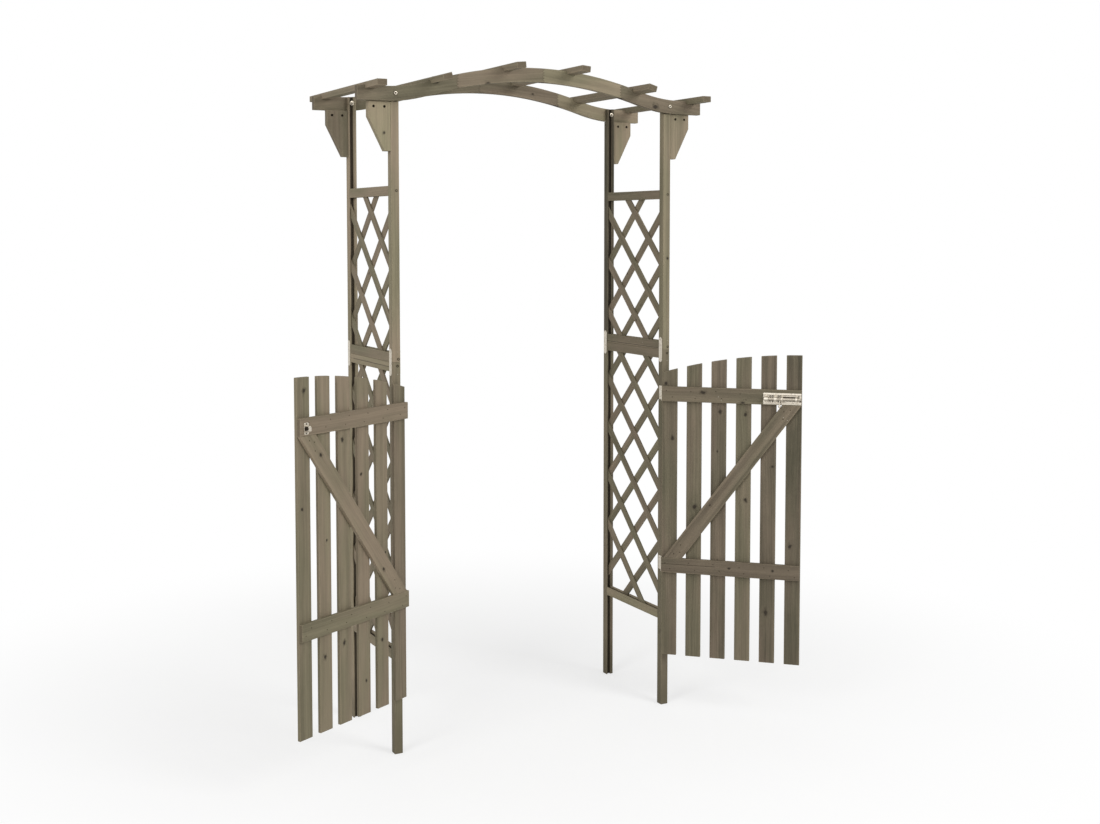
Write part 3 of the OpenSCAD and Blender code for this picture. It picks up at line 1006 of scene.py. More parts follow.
@dataclass(frozen=True)
class Stain:
    """A wood finish: a thin greyish brown stain through which the figure shows."""

    name: str
    green: Colour = (0.158, 0.139, 0.087, 1.0)
    brown: Colour = (0.184, 0.145, 0.100, 1.0)
    knot: Colour = (0.020, 0.014, 0.007, 1.0)
    end_grain: Colour = (0.085, 0.065, 0.041, 1.0)
    worn: Colour = (0.255, 0.212, 0.143, 1.0)
    damp: Colour = (0.088, 0.076, 0.046, 1.0)
    # deep colours the painted shade in grooves and holes, the dark joint lines and the crack.
    deep: Colour = (0.020, 0.013, 0.006, 1.0)
    figure: float = 0.40
    gain: float = 1.02
    shade: float = 1.0

    def build(self, timber: NodeTree, wear: NodeTree,
              grime: NodeTree) -> Material:
        """Builds the material.

        The colour runs from green to brown with each board's hue and soft patches. It
        is then made lighter or darker by the figure and by the board's lightness, which is
        partly painted light and shade, and covered in turn by end grain, dust, knots, worn
        arrises, damp, painted shade in grooves and holes with dark joint lines, and the crack.

        Args:
            timber: The timber figure group.
            wear: The worn arrises group.
            grime: The damp and dust group.

        Returns:
            The material.
        """
        material, graph, shader = new_material(self.name)
        place, shift = graph.read("grain_place"), graph.read("board_shift")
        light, hue, strength = graph.split(graph.read("board_look"))
        knots_given = {key: graph.read(key.lower().replace(" ", "_")) for key in KNOT_INPUTS}
        rings, streaks, fibres, patches, knots, rims, crack = graph.group(
            timber, {"Place": place, "Shift": shift, "Crack": graph.read("board_crack"), **knots_given})
        local = graph.vector("ADD", {0: place, 1: graph.join(graph.split(shift)[0])})
        edge = graph.read("board_edge", "Fac")
        worn = graph.group(wear, {"Edge": edge, "Place": local, "Spread": 0.55})["Wear"]
        damp, dust = graph.group(grime, {"Place": graph.room()})
        tint = graph.math("ADD", hue, graph.swing(patches, 1.2), clamp=True)
        pattern = graph.plus(graph.swing(streaks, 0.80), graph.swing(fibres, 0.36),
                             graph.swing(patches, 0.35))
        pattern = graph.times(graph.less(pattern, graph.times(rings, 0.34)), strength, self.figure)
        # The board's lightness, partly painted light and shade, scales the stain with the figure.
        gain = graph.times(graph.plus(pattern, light, self.gain), self.shade)
        stained = graph.vector("SCALE", {0: graph.mix(tint, self.green, self.brown), "Scale": gain})
        colour = graph.cover(stained, (
            (graph.read("board_end", "Fac"), 0.75, self.end_grain), (dust, 0.10, self.worn),
            (rims, 0.6, self.knot), (knots, 0.96, self.knot), (worn, 0.34, self.worn),
            # Painted shade in grooves and holes, and dark joint lines.
            (damp, 0.6, self.damp), (graph.read("board_hollow", "Fac"), 0.86, self.deep),
            (crack, 0.85, self.deep)))
        dry = graph.less(0.83, graph.times(streaks, 0.10), graph.times(knots, 0.08))
        relief = graph.plus(graph.times(fibres, 0.5), graph.times(streaks, 0.35), graph.times(rings, 0.45))
        relief = graph.plus(graph.less(relief, graph.times(crack, 3.0)), graph.times(knots, 0.5))
        graph.feed(shader, {"Base Color": colour, "Roughness": graph.plus(dry, graph.times(worn, 0.06)),
                            "Specular IOR Level": 0.3, "Normal": graph.bump(relief, 0.55, 0.0006)})
        return material


@dataclass(frozen=True)
class Galvanised:
    """A zinc-coated finish on steel sheet, rods and screws."""

    name: str
    bright: Colour = (0.64, 0.59, 0.50, 1.0)
    dull: Colour = (0.52, 0.47, 0.39, 1.0)
    spot: Colour = (0.30, 0.26, 0.21, 1.0)
    rough: float = 0.40
    metal: float = 1.0

    def build(self, spangle: NodeTree) -> Material:
        """Builds the material: crystals and spots tint it, scratches make it shinier.

        Args:
            spangle: The zinc coating group.

        Returns:
            The material.
        """
        material, graph, shader = new_material(self.name)
        crystals, scratches, spots = graph.group(spangle, {"Place": graph.room()})
        colour = graph.cover(self.bright, ((crystals, 0.55, self.dull), (spots, 0.5, self.spot)))
        rough = graph.plus(graph.times(crystals, 0.14), self.rough)
        rough = graph.less(rough, graph.times(scratches, 0.10))
        relief = graph.less(graph.times(crystals, 0.5), scratches)
        graph.feed(shader, {"Base Color": colour, "Roughness": graph.plus(rough, graph.times(spots, 0.18)),
                            "Metallic": self.metal, "Normal": graph.bump(relief, 0.25, 0.0002)})
        return material


@dataclass(frozen=True)
class Finishes:
    """The materials that the sub-assemblies are dressed in."""

    frame_wood: Material
    trellis_wood: Material
    gate_wood: Material
    zinc: Material
    bare: Material
    pin: Material
    # Dark steel of screws and nails, and also the colour of the painted shade and shadow patches.
    steel: Material

    @classmethod
    def mix_all(cls) -> "Finishes":
        """Builds the shared groups once, and every material from them."""
        woods = timber_group(knot_group()), wear_group(), grime_group()
        spangle = spangle_group()
        return cls(
            frame_wood=Stain("stained_frame_wood").build(*woods),
            trellis_wood=Stain("stained_trellis_wood", shade=0.94).build(*woods),
            gate_wood=Stain("stained_gate_wood", shade=0.97).build(*woods),
            zinc=Galvanised("galvanised_steel").build(spangle),
            bare=Galvanised("drawn_steel", (0.42, 0.38, 0.31, 1.0), (0.30, 0.26, 0.21, 1.0),
                            (0.12, 0.10, 0.07, 1.0), rough=0.32).build(spangle),
            pin=Galvanised("pin_steel", (0.36, 0.33, 0.27, 1.0), (0.25, 0.22, 0.18, 1.0),
                           (0.12, 0.10, 0.08, 1.0), rough=0.5, metal=0.6).build(spangle),
            steel=Galvanised("dull_screw_steel", (0.050, 0.040, 0.028, 1.0), (0.028, 0.022, 0.015, 1.0),
                             (0.016, 0.012, 0.008, 1.0), rough=0.5).build(spangle))


# ---- the arch


@dataclass(frozen=True)
class Plan:
    """The sizes that the sub-assemblies share, in metres."""

    post: float = 0.025
    opening: float = 0.9
    depth: float = 0.376
    joint: float = 1.158
    leg: float = 0.28
    rail: float = 0.028
    top_rail: float = 1.64
    beam_end: float = 1.95
    beam_rise: float = 0.076
    beam_high: float = 0.042
    beam_thick: float = 0.02
    beam_proud: float = 0.012
    beam_past: float = 0.105
    flare_past: float = 0.025
    flare_wide: float = 0.146

    @property
    def outer(self) -> float:
        """Distance from the middle to the posts' outer faces."""
        return self.opening / 2 + self.post

    @property
    def post_x(self) -> float:
        """Distance from the middle to the middle of a post."""
        return (self.opening + self.post) / 2

    @property
    def post_y(self) -> float:
        """Distance from the middle of the depth to the middle of a post."""
        return (self.depth - self.post) / 2

    @property
    def beam_half(self) -> float:
        """Half the length of a beam."""
        return self.outer + self.beam_past

    @property
    def beam_back(self) -> float:
        """Distance from the middle of the depth to a beam's outer face."""
        return self.depth / 2 + self.beam_proud

    @property
    def shelf(self) -> float:
        """Height of the rebates in which the beams lie."""
        return self.beam_end - self.beam_high

    def beam_top(self, x: Array | float) -> Array:
        """Height of a beam's upper edge.

        A crown falls away with the square of the distance from the middle, a flare
        curves the other way with the square of the distance from its end, at one slope
        where they meet, and the rest is level.

        Args:
            x: Distances from the middle.

        Returns:
            The heights.
        """
        away = np.abs(x)
        flare = self.outer + self.flare_past
        crown = flare - self.flare_wide
        slope = 2 * self.beam_rise / flare
        arch = self.beam_end + self.beam_rise - away ** 2 * slope / (2 * crown)
        swing = self.beam_end + np.clip(flare - away, 0, None) ** 2 * slope / (2 * (flare - crown))
        return np.where(away <= crown, arch, swing)

    def beam_slope(self, x: float) -> float:
        """The slope of a beam's upper edge at one place."""
        step = 1e-4
        return float(self.beam_top(x + step) - self.beam_top(x - step)) / (2 * step)


@dataclass
class Assembly:
    """What every sub-assembly has: the shared sizes, the materials and the looks of its boards."""

    plan: Plan
    finishes: Finishes
    looks: dict[str, Look]

    def board(self, key: str, surface: Surface, grain: Grain | Array,
              start: Sequence[float] = (0.0, 0.0, 0.0)) -> Board:
        """Gives a board its grain and the look chosen for it, or a plain one."""
        return board(surface, grain, self.looks.get(key, Look(hue=0.45)), key, start)

    def single(self, name: str, key: str, surface: Surface, grain: Grain | Array) -> None:
        """Makes a piece of one board in the frame's wood."""
        wood_piece(name, [self.board(key, surface, grain)], self.finishes.frame_wood, [key])


@dataclass
class Tower(Assembly):
    """One trellis tower: four posts, four rails, the trellis and the joining plates."""

    side: Side
    groove_lip: float = 0.004
    groove: float = 0.0106
    groove_deep: float = 0.008
    slat: float = 0.025
    slat_thick: float = 0.005
    diamond: float = 0.084
    shortest: float = 0.09
    plate_long: float = 0.08
    plate_wide: float = 0.018
    plate_thick: float = 0.0015
    plate_holes: tuple[float, ...] = (-0.030, -0.0105, 0.0105, 0.030)
    plate_hole: float = 0.0027
    plate_sunk: float = 0.0012
    plate_stagger: float = 0.0022
    plate_screw: Head = Head(0.0026, 0.0004)
    rail_screws: tuple[float, ...] = (0.294, 1.147, 1.167, 1.654)
    rail_screw: Head = Head(0.0040, 0.0006)
    post_pins: tuple[float, ...] = (1.188, 1.123)
    post_pin: Head = Head(0.0013, 0.0004)
    rail_pins: tuple[float, ...] = (-0.065, 0.02)
    rail_pin: Head = Head(0.0014, 0.0004)
    post_edges: Edges = Edges(0.0012, 0.0009, 0.003, 0.0)
    rail_edges: Edges = Edges(0.0019, 0.0003, 0.003, 0.0)
    slat_edges: Edges = Edges(0.0006, 0.0009, 0.003, 0.0)
    plate_edges: Edges = Edges(0.0005, 0.0004, 0.001, 0.0)

    @property
    def x(self) -> float:
        """The middle of the posts."""
        return self.side.value * self.plan.post_x

    def grooved(self, low: float, high: float) -> Array:
        """The cross-section of a post or rail, with the trellis groove in its upper side.

        Args:
            low: Level of the plain side.
            high: Level of the grooved side.

        Returns:
            The corners.
        """
        half, floor = self.plan.post / 2, high - self.groove_deep
        near = -half + self.groove_lip
        far = near + self.groove
        return np.array([[-half, low], [half, low], [half, high], [far, high], [far, floor], [near, floor],
                         [near, high], [-half, high]])

    def make_posts(self) -> None:
        """Makes the four lower and four upper lengths of the posts, rebated for the beams."""
        plan = self.plan
        half, rebate = plan.post / 2, plan.beam_thick - plan.beam_proud
        # Painted shade on the walls and floor of the groove.
        shade = np.array([0, 0, 0, 0.3, 1, 1, 0.3, 0])
        for where, inward in (("front", 1), ("back", -1)):
            place = Place((self.x, -inward * plan.post_y, 0.0), X_AXIS, Y_AXIS, Z_AXIS)
            full, cut = [self.grooved(low, half) * (1, inward) for low in (-half, rebate - half)]
            for level, parts in (
                    ("lower", ((full, 0.0, plan.joint, (True, True)),)),
                    ("upper", ((full, plan.joint, plan.shelf, (True, False)),
                               (cut, plan.shelf, plan.beam_end, (False, True))))):
                key = f"{self.side.word}_{where}_{level}_post"
                surfaces = [slab(corners, low, high, place, self.post_edges, hollow=shade, rounded=rounded)
                            for corners, low, high, rounded in parts]
                wood_piece(f"{key}_board", [self.board(key, surface, Grain.W) for surface in surfaces],
                           self.finishes.frame_wood, [key])

    def make_rails(self) -> None:
        """Makes the four grooved rails between the posts, two to a panel."""
        plan = self.plan
        bay = plan.depth / 2 - plan.post
        # Painted shade on the walls and floor of the groove.
        shade = np.array([0, 0, 0, 0, 1, 1, 0, 0])
        lay = np.stack([Z_AXIS, Y_AXIS, X_AXIS])
        for level, low, high in (("lower", plan.leg, plan.joint - plan.rail),
                                 ("upper", plan.joint, plan.top_rail)):
            boards = []
            for word, z, up, lift in (("low", low, 1, 0.0), ("high", high, -1, plan.rail)):
                corners = self.grooved(0.0, plan.rail) * (1, up) + (0, lift)
                key = f"{self.side.word}_{level}_rail_{word}"
                surface = slab(corners, -bay, bay, Place((self.x, 0.0, z), X_AXIS, Z_AXIS, Y_AXIS),
                               self.rail_edges, hollow=shade)
                boards.append(self.board(key, surface, lay))
            name = f"{self.side.word}_{level}_rails"
            wood_piece(f"{name}_boards", boards, self.finishes.frame_wood, [name])

    def slats(self, level: str) -> list[Board]:
        """The slats of one panel, each a thin board laid at 45 degrees and cut to the grooves.

        A slat's middle line is z = start + y * lean, its edges lie half a width to
        either side, and what lies outside the bay with its grooves is cut off.

        Args:
            level: lower or upper.

        Returns:
            The slats.
        """
        plan, lower, wide = self.plan, level == "lower", self.slat
        half = plan.depth / 2 - plan.post
        low = (plan.leg if lower else plan.joint) + plan.rail
        tall = (plan.joint - plan.rail if lower else plan.top_rail) - low
        start = tall - 0.008 if lower else -0.005
        first = self.x - plan.post / 2 + self.groove_lip + (self.groove - 2 * self.slat_thick) / 2
        grow, root, beyond, layer_gap = self.groove_deep - 0.0004, math.sqrt(0.5), 2.0, 0.0001
        boards = []
        for layer, lean in enumerate((1, -1)):
            along, across = np.array([root, root * lean]), np.array([-root * lean, root])
            place = Place((first + layer * (self.slat_thick + layer_gap), 0.0, low), Y_AXIS, Z_AXIS, X_AXIS)
            for step in range(-40, 41):
                middle = start + (2 * step + 1) * self.diamond
                inside = min(tall, middle + half) - max(0.0, middle - half)
                if inside * math.sqrt(2) <= self.shortest:
                    continue
                shape = rectangle(-beyond, beyond, -wide / 2, wide / 2) @ (along, across) + (0, middle)
                for normal, limit in (((1, 0), half + grow), ((-1, 0), half + grow), ((0, 1), tall + grow),
                                      ((0, -1), grow)):
                    shape = clip(shape, np.array(normal, float), limit)
                key = f"{self.side.word}_{level}_slat_{lean}_{step}"
                draw = dice(key)
                basis = np.array([[*along, 0.0], [*across, 0.0], Z_AXIS])
                knots = (Knot(draw.uniform(-0.15, 0.15), draw.uniform(-0.008, 0.008),
                              draw.uniform(0.002, 0.0045)),) if draw.random() < 0.35 else ()
                look = Look(draw.uniform(-0.10, 0.06), draw.uniform(0.1, 0.95), knots)
                surface = slab(shape, 0.0, self.slat_thick, place, self.slat_edges)
                boards.append(board(surface, basis, look, key, (0.0, middle, 0.0)))
        return boards

    def make_trellis(self) -> None:
        """Makes the trellis of both panels."""
        for level in ("lower", "upper"):
            name = f"{self.side.word}_{level}_trellis"
            wood_piece(f"{name}_slats", self.slats(level), self.finishes.trellis_wood, [name])

    def make_plates(self) -> None:
        """Makes the joining plates with their screws, on both x faces of each post."""
        plan, radius = self.plan, self.plate_wide / 2
        ends = self.plate_long / 2 - radius
        outline = np.concatenate([arc_path((ends, 0), radius, -90, 90, 15),
                                  arc_path((-ends, 0), radius, 90, 270, 15)])
        holes = [Hole(u, self.plate_stagger * (-1) ** number, self.plate_hole, self.plate_sunk)
                 for number, u in enumerate(self.plate_holes)]
        plates, screws = [], []
        for y in (-plan.post_y, plan.post_y):
            for face in (-1, 1):
                place = Place((self.x + face * plan.post / 2, y, plan.joint), Z_AXIS, Y_AXIS, face * X_AXIS)
                plates.append(slab(outline, 0.0, self.plate_thick, place, self.plate_edges, holes=holes))
                sunk = place.moved(w=self.plate_thick - 0.0005)
                screws += [screw_head(sunk.moved(hole.u, hole.v), self.plate_screw, 0.4 + 1.1 * number)
                           for number, hole in enumerate(holes)]
        metal_piece(f"{self.side.word}_joining_plates_sheet", plates, self.finishes.zinc,
                    nodes=[f"{self.side.word}_joining_plates"])
        metal_piece(f"{self.side.word}_joining_plate_screws", screws, self.finishes.zinc)

    def make_screws(self) -> None:
        """Makes the screws that hold the rails, on the outer y faces, and small pale pins."""
        plan = self.plan
        screws, pins = [], []
        for y in (-1, 1):
            spot = Place((self.x, y * plan.depth / 2, 0.0), X_AXIS, Z_AXIS, y * Y_AXIS)
            screws += [screw_head(spot.moved(0.005 + 0.0015 * (-1) ** number, z), self.rail_screw,
                                  0.7 * number) for number, z in enumerate(self.rail_screws)]
            pins += [nail_head(spot.moved(0.004, z), self.post_pin) for z in self.post_pins]
        if self.side is Side.RIGHT:
            spot = Place((self.x - plan.post / 2, 0.0, plan.joint + 0.016), Y_AXIS, Z_AXIS, -X_AXIS)
            pins += [nail_head(spot.moved(y), self.rail_pin) for y in self.rail_pins]
        metal_piece(f"{self.side.word}_tower_screws", screws, self.finishes.steel)
        metal_piece(f"{self.side.word}_tower_pins", pins, self.finishes.pin)

    def make(self) -> None:
        """Makes the whole tower."""
        self.make_posts()
        self.make_rails()
        self.make_trellis()
        self.make_plates()
        self.make_screws()


@dataclass
class Roof(Assembly):
    """The two curved beams, the six purlins on them and the brackets under their ends."""

    front_seams: tuple[float, ...] = (-0.271, 0.012, 0.284)
    back_seams: tuple[float, ...] = (-0.284, -0.022, 0.265)
    teeth: int = 5
    tooth: float = 0.009
    bolt_x: float = 0.4645
    bolt_drop: float = 0.019
    bolt: Head = Head(0.0060, 0.0030)
    # Sizes of the dark discs painted as shade in a bolt's socket and as a shadow ring round its head.
    bolt_socket: Head = Head(0.0024, 0.0003)
    bolt_rim: Head = Head(0.0072, 0.0003)
    purlin_wide: float = 0.03
    purlin_thick: float = 0.018
    purlin_half: float = 0.295
    notch: float = 0.009
    notch_gap: float = 0.0003
    purlin_x: tuple[float, ...] = (-0.541, -0.342, -0.108, 0.108, 0.342, 0.541)
    purlin_screw_y: float = 0.19
    purlin_screw: Head = Head(0.0036, 0.0004)
    bracket: float = 0.068
    bracket_high: float = 0.142
    bracket_edge: float = 0.045
    bracket_foot: float = 0.019
    bracket_thick: float = 0.02
    bracket_holes: tuple[Hole, ...] = (
        Hole(0.0185, -0.0155, 0.0038, 0.010), Hole(0.0515, -0.0155, 0.0038, 0.010))
    bracket_screw: Head = Head(0.0033, 0.0006)
    screw_sunk: float = 0.0092
    edges: Edges = Edges(0.0012, 0.0013)
    purlin_edges: Edges = Edges(0.0012, 0.0013, 0.003, 0.003)

    def cut(self, x: float, upward: bool) -> tuple[Array, Array]:
        """The end of one of a beam's lengths: square, or the zigzag of a finger joint.

        The teeth stand at even shares of the beam's height, turn about between half a
        tooth before and half a tooth behind the joint.

        Args:
            x: Place of the end.
            upward: Whether the points run from the lower edge to the upper one.

        Returns:
            The points, and the share of an inset that each follows.
        """
        jointed = abs(x) < self.plan.beam_half
        count = 2 * self.teeth if jointed else 1
        share = np.linspace(0, 1, count + 1)
        swing = np.where(np.arange(count + 1) % 2 == 0, -0.5, 0.5) * self.tooth
        swing[[0, -1]] = 0
        across = x + swing
        points = np.stack([across, self.plan.beam_top(across) - self.plan.beam_high * (1 - share)], axis=1)
        return points if upward else points[::-1], np.full(count + 1, 0.2 if jointed else 1.0)

    def beam_length(self, left: float, right: float, back: float, key: str) -> Board:
        """One length of a beam, with straight grain along its own chord.

        Args:
            left: Its left end.
            right: Its right end.
            back: Where its y face towards the back lies.
            key: Its name.

        Returns:
            The board.
        """
        plan = self.plan
        xs = np.linspace(left, right, 16)[1:-1]
        upper = np.stack([xs, plan.beam_top(xs)], axis=1)
        (right_end, right_grip), (left_end, left_grip) = self.cut(right, True), self.cut(left, False)
        corners = np.concatenate([upper - (0, plan.beam_high), right_end, upper[::-1], left_end])
        grip = np.concatenate([np.ones(len(xs)), right_grip, np.ones(len(xs)), left_grip])
        surface = slab(corners, 0.0, plan.beam_thick, Place((0.0, back, 0.0), X_AXIS, Z_AXIS, -Y_AXIS),
                       self.edges, grip, (grip < 1).astype(float))
        ends = plan.beam_top(np.array([left, right])) - plan.beam_high / 2
        chord = np.array([right - left, ends[1] - ends[0], 0.0])
        chord /= np.linalg.norm(chord)
        basis = np.array([chord, [-chord[1], chord[0], 0], Z_AXIS])
        return self.board(key, surface, basis, ((left + right) / 2, ends.mean(), 0.0))

    def make_beam(self, name: str, outward: int, seams: tuple[float, ...]) -> None:
        """Makes a beam of four lengths, with its bolts and nuts.

        Args:
            name: Name of the node.
            outward: -1 for the front beam, 1 for the back one.
            seams: Places of the three finger joints.
        """
        plan = self.plan
        stops = (-plan.beam_half, *seams, plan.beam_half)
        face = outward * plan.beam_back
        back = max(face, face - outward * plan.beam_thick)
        lengths = [self.beam_length(left, right, back, f"{name}_length_{number}")
                   for number, (left, right) in enumerate(zip(stops, stops[1:]), 1)]
        wood_piece(f"{name}_lengths", lengths, self.finishes.frame_wood, [name])

        def spots(y: float, way: int) -> list[Place]:
            """The places of the two bolts at one y, looking along it or against it."""
            z = plan.beam_end - self.bolt_drop
            return [Place((side * self.bolt_x, y, z), X_AXIS, Z_AXIS, way * Y_AXIS) for side in (-1, 1)]

        heads, ends = spots(face, outward), spots(outward * (plan.depth / 2 - plan.post), -outward)
        # Dark discs of painted shade in the sockets, and painted shadow rings round the heads.
        shade = [nail_head(spot.moved(w=0.0007), self.bolt_socket) for spot in heads]
        shade += [nail_head(spot, self.bolt_rim) for spot in heads]
        bolts = [socket_bolt_head(spot, self.bolt) for spot in heads]
        nuts = [surface for spot in ends for surface in hex_nut(spot)]
        metal_piece(f"{name}_bolts", bolts, self.finishes.bare)
        metal_piece(f"{name}_bolt_shade", shade, self.finishes.steel)
        metal_piece(f"{name}_nuts", nuts, self.finishes.bare)

    def make_purlins(self) -> None:
        """Makes the six purlins, notched over the beams and turned to their slope, and their screws."""
        plan = self.plan
        screws = []
        near, far = plan.beam_back - plan.beam_thick - self.notch_gap, plan.beam_back + self.notch_gap
        half, top = self.purlin_wide / 2, self.purlin_thick - self.notch
        right = np.array([[near, -self.notch], [near, 0], [far, 0], [far, -self.notch],
                          [self.purlin_half, -self.notch], [self.purlin_half, top]])
        corners = np.concatenate([right, right[::-1] * (-1, 1)])
        for number, x in enumerate(self.purlin_x, 1):
            slope = plan.beam_slope(x)
            run = np.array([1.0, 0.0, slope]) / math.hypot(1.0, slope)
            rise = np.cross(run, Y_AXIS)
            place = Place((x, 0.0, float(plan.beam_top(x))), Y_AXIS, rise, run)
            surface = slab(corners, -half, half, place, self.purlin_edges)
            self.single(f"purlin_{number}_batten", f"purlin_{number}", surface, Grain.U)
            upper = Place(place.moved(v=top).origin, Y_AXIS, run, rise)
            screws += [screw_head(upper.moved(side * self.purlin_screw_y), self.purlin_screw, number + side)
                       for side in (-1, 1)]
        metal_piece("purlin_screws", screws, self.finishes.steel)

    def make_brackets(self) -> None:
        """Makes the four brackets, each with two sunk screw holes in the face towards the front."""
        plan = self.plan
        screws = []
        corners = np.array([[0, 0], [self.bracket, 0], [self.bracket, -self.bracket_edge],
                            [self.bracket_foot, -self.bracket_high], [0, -self.bracket_high]])
        for side in Side:
            for where, back in (("front", self.bracket_thick - plan.depth / 2), ("back", plan.depth / 2)):
                key = f"{side.word}_{where}_bracket"
                outwards = side.value * X_AXIS
                place = Place((side.value * plan.outer, back, plan.shelf), outwards, Z_AXIS, -Y_AXIS)
                surface = slab(corners, 0.0, self.bracket_thick, place, self.edges,
                               holes=self.bracket_holes)
                self.single(f"{key}_board", key, surface, Grain.V)
                level = self.bracket_thick - self.screw_sunk
                screws += [screw_head(place.moved(hole.u, hole.v, level), self.bracket_screw, hole.u * 90)
                           for hole in self.bracket_holes]
        metal_piece("bracket_screws", screws, self.finishes.steel)

    def make(self) -> None:
        """Makes the whole roof."""
        self.make_beam("front_beam", -1, self.front_seams)
        self.make_beam("back_beam", 1, self.back_seams)
        self.make_purlins()
        self.make_brackets()


@dataclass
class Gate(Assembly):
    """One picket gate, in its own axes: u from the hinge to the free end, v through it.

    The pickets' inner face lies a little off the hinge axis, the rails lie on the
    pickets, and the brace lies between the rails.
    """

    side: Side
    angle: float
    bright_nails: tuple[Pair, ...] = ()
    gap: float = 0.006
    off_axis: float = 0.003
    pickets: int = 6
    wide: float = 0.048
    picket_thick: float = 0.01
    rail_thick: float = 0.012
    low: float = 0.173
    hinge_top: float = 1.087
    rise: float = 0.065
    lower_rail: float = 0.444
    upper_rail: float = 0.996
    brace_inset: float = 0.008
    rail_nails: tuple[Pair, ...] = ((-0.010, 0.034), (0.008, 0.013))
    nail_stray: float = 0.003
    brace_nails: tuple[Pair, ...] = ((0.004, 0.014), (0.024, 0.02), (0.026, 0.044))
    brace_nail: Head = Head(0.0017, 0.0005)
    leaf_thick: float = 0.0015
    leaf_screw_v: float = 0.0125
    leaf_screw_z: float = 0.013
    leaf_screw: Head = Head(0.0024, 0.0003)
    edges: Edges = Edges(0.0012, 0.0014)
    brace_edges: Edges = Edges(0.0008, 0.0014)

    @property
    def start(self) -> float:
        """The gate's hinge edge."""
        return self.gap / 2

    @property
    def width(self) -> float:
        """The gate's width."""
        return (self.plan.opening - 3 * self.gap) / 2

    @property
    def free_edge(self) -> float:
        """The gate's free edge."""
        return self.start + self.width

    @property
    def picket_face(self) -> float:
        """The level of the pickets' outer face."""
        return self.off_axis + self.picket_thick

    @property
    def face(self) -> float:
        """The level of the rails' outer face."""
        return self.picket_face + self.rail_thick

    @property
    def flat(self) -> Place:
        """Axes for boards drawn in u and z, with their thickness along v, as the gate stands open.

        Closed, u points to the other gate and v to the back. The left gate has turned
        clockwise by its angle, the right one the other way. The origin is the point on
        the ground under the hinge axis.
        """
        turn, s = math.radians(self.angle), self.side.value
        along = np.array([-s * math.cos(turn), -math.sin(turn), 0.0])
        through = np.array([-s * math.sin(turn), math.cos(turn), 0.0])
        hinge_x, hinge_y = s * (self.plan.opening / 2 - self.start), -self.plan.depth / 2 - self.off_axis
        return Place(np.array([hinge_x, hinge_y, 0.0]), along, Z_AXIS, through)

    @property
    def bent(self) -> Place:
        """Axes for sheet bent in z and v and carried along u."""
        flat = self.flat
        return Place(flat.origin, Z_AXIS, flat.w, flat.u)

    @property
    def body(self) -> str:
        """The gate's body."""
        return f"{self.side.word}_gate"

    def picket_start(self, number: int) -> float:
        """Where a picket begins, numbered from 0 at the hinge."""
        return self.start + number * (self.width - self.wide) / (self.pickets - 1)

    def picket(self, number: int) -> Array:
        """The corners of a picket in u and z, whose top follows the arc over both gates.

        The arc's middle lies midway between the gates, and its radius is the sum of
        the squares of half its chord and its rise over twice the rise.

        Args:
            number: 0 at the hinge, up to 5 at the free end.

        Returns:
            The corners.
        """
        reach = self.free_edge + self.gap / 2
        radius = (reach ** 2 + self.rise ** 2) / (2 * self.rise)
        left = self.picket_start(number)
        us = np.linspace(left + self.wide, left, 3)
        top = self.hinge_top + self.rise - radius + np.sqrt(radius ** 2 - (reach - us) ** 2)
        foot = [[left, self.low], [left + self.wide, self.low]]
        return np.concatenate([foot, np.stack([us, top], axis=1)])

    def brace(self) -> Array:
        """The corners of the brace in u and z, lower two, then upper two, with level ends.

        The level run of its edges is chosen so that the board is as wide at right
        angles to its edges as every other board: a root of the quadratic that follows
        from the slanted length.

        Returns:
            The corners.
        """
        low_z, high_z = self.lower_rail + self.wide, self.upper_rail
        low_u = self.start + self.brace_inset
        span, ratio = self.free_edge - low_u, (self.wide / (high_z - low_z)) ** 2
        run = (span - math.sqrt(span ** 2 - (1 - ratio) * (span ** 2 - self.wide ** 2))) / (1 - ratio)
        return np.array([[low_u, low_z], [low_u + span - run, low_z], [self.free_edge, high_z],
                         [low_u + run, high_z]])

    def make_board(self, key: str, corners: Array, grain: Grain | Array, middle: Sequence[float],
                   edges: Edges) -> None:
        """Makes a board that lies on the pickets, its grain's coordinates counted from its middle."""
        surface = slab(corners, self.picket_face, self.face, self.flat, edges)
        wood_piece(f"{key}_board", [self.board(key, surface, grain, middle)], self.finishes.gate_wood,
                   [key], self.body)

    def make_boards(self) -> None:
        """Makes the pickets, the two rails and the brace."""
        pickets = []
        for number in range(self.pickets):
            key = f"{self.side.word}_picket_{number + 1}"
            surface = slab(self.picket(number), self.off_axis, self.picket_face, self.flat, self.edges)
            pickets.append(self.board(key, surface, Grain.V,
                                      (self.picket_start(number) + self.wide / 2, 0.0, 0.0)))
        wood_piece(f"{self.body}_picket_boards", pickets, self.finishes.gate_wood, [f"{self.body}_pickets"],
                   self.body)
        for word, z in (("top", self.upper_rail), ("lower", self.lower_rail)):
            corners = rectangle(self.start, self.free_edge, z, z + self.wide)
            self.make_board(f"{self.body}_{word}_rail", corners, Grain.U, (0.0, z + self.wide / 2, 0.0),
                            self.edges)
        corners = self.brace()
        along = corners[3] - corners[0]
        along /= np.linalg.norm(along)
        basis = np.array([[*along, 0], [-along[1], along[0], 0], Z_AXIS])
        self.make_board(f"{self.body}_brace", corners, basis, (*corners.mean(0), 0.0), self.brace_edges)

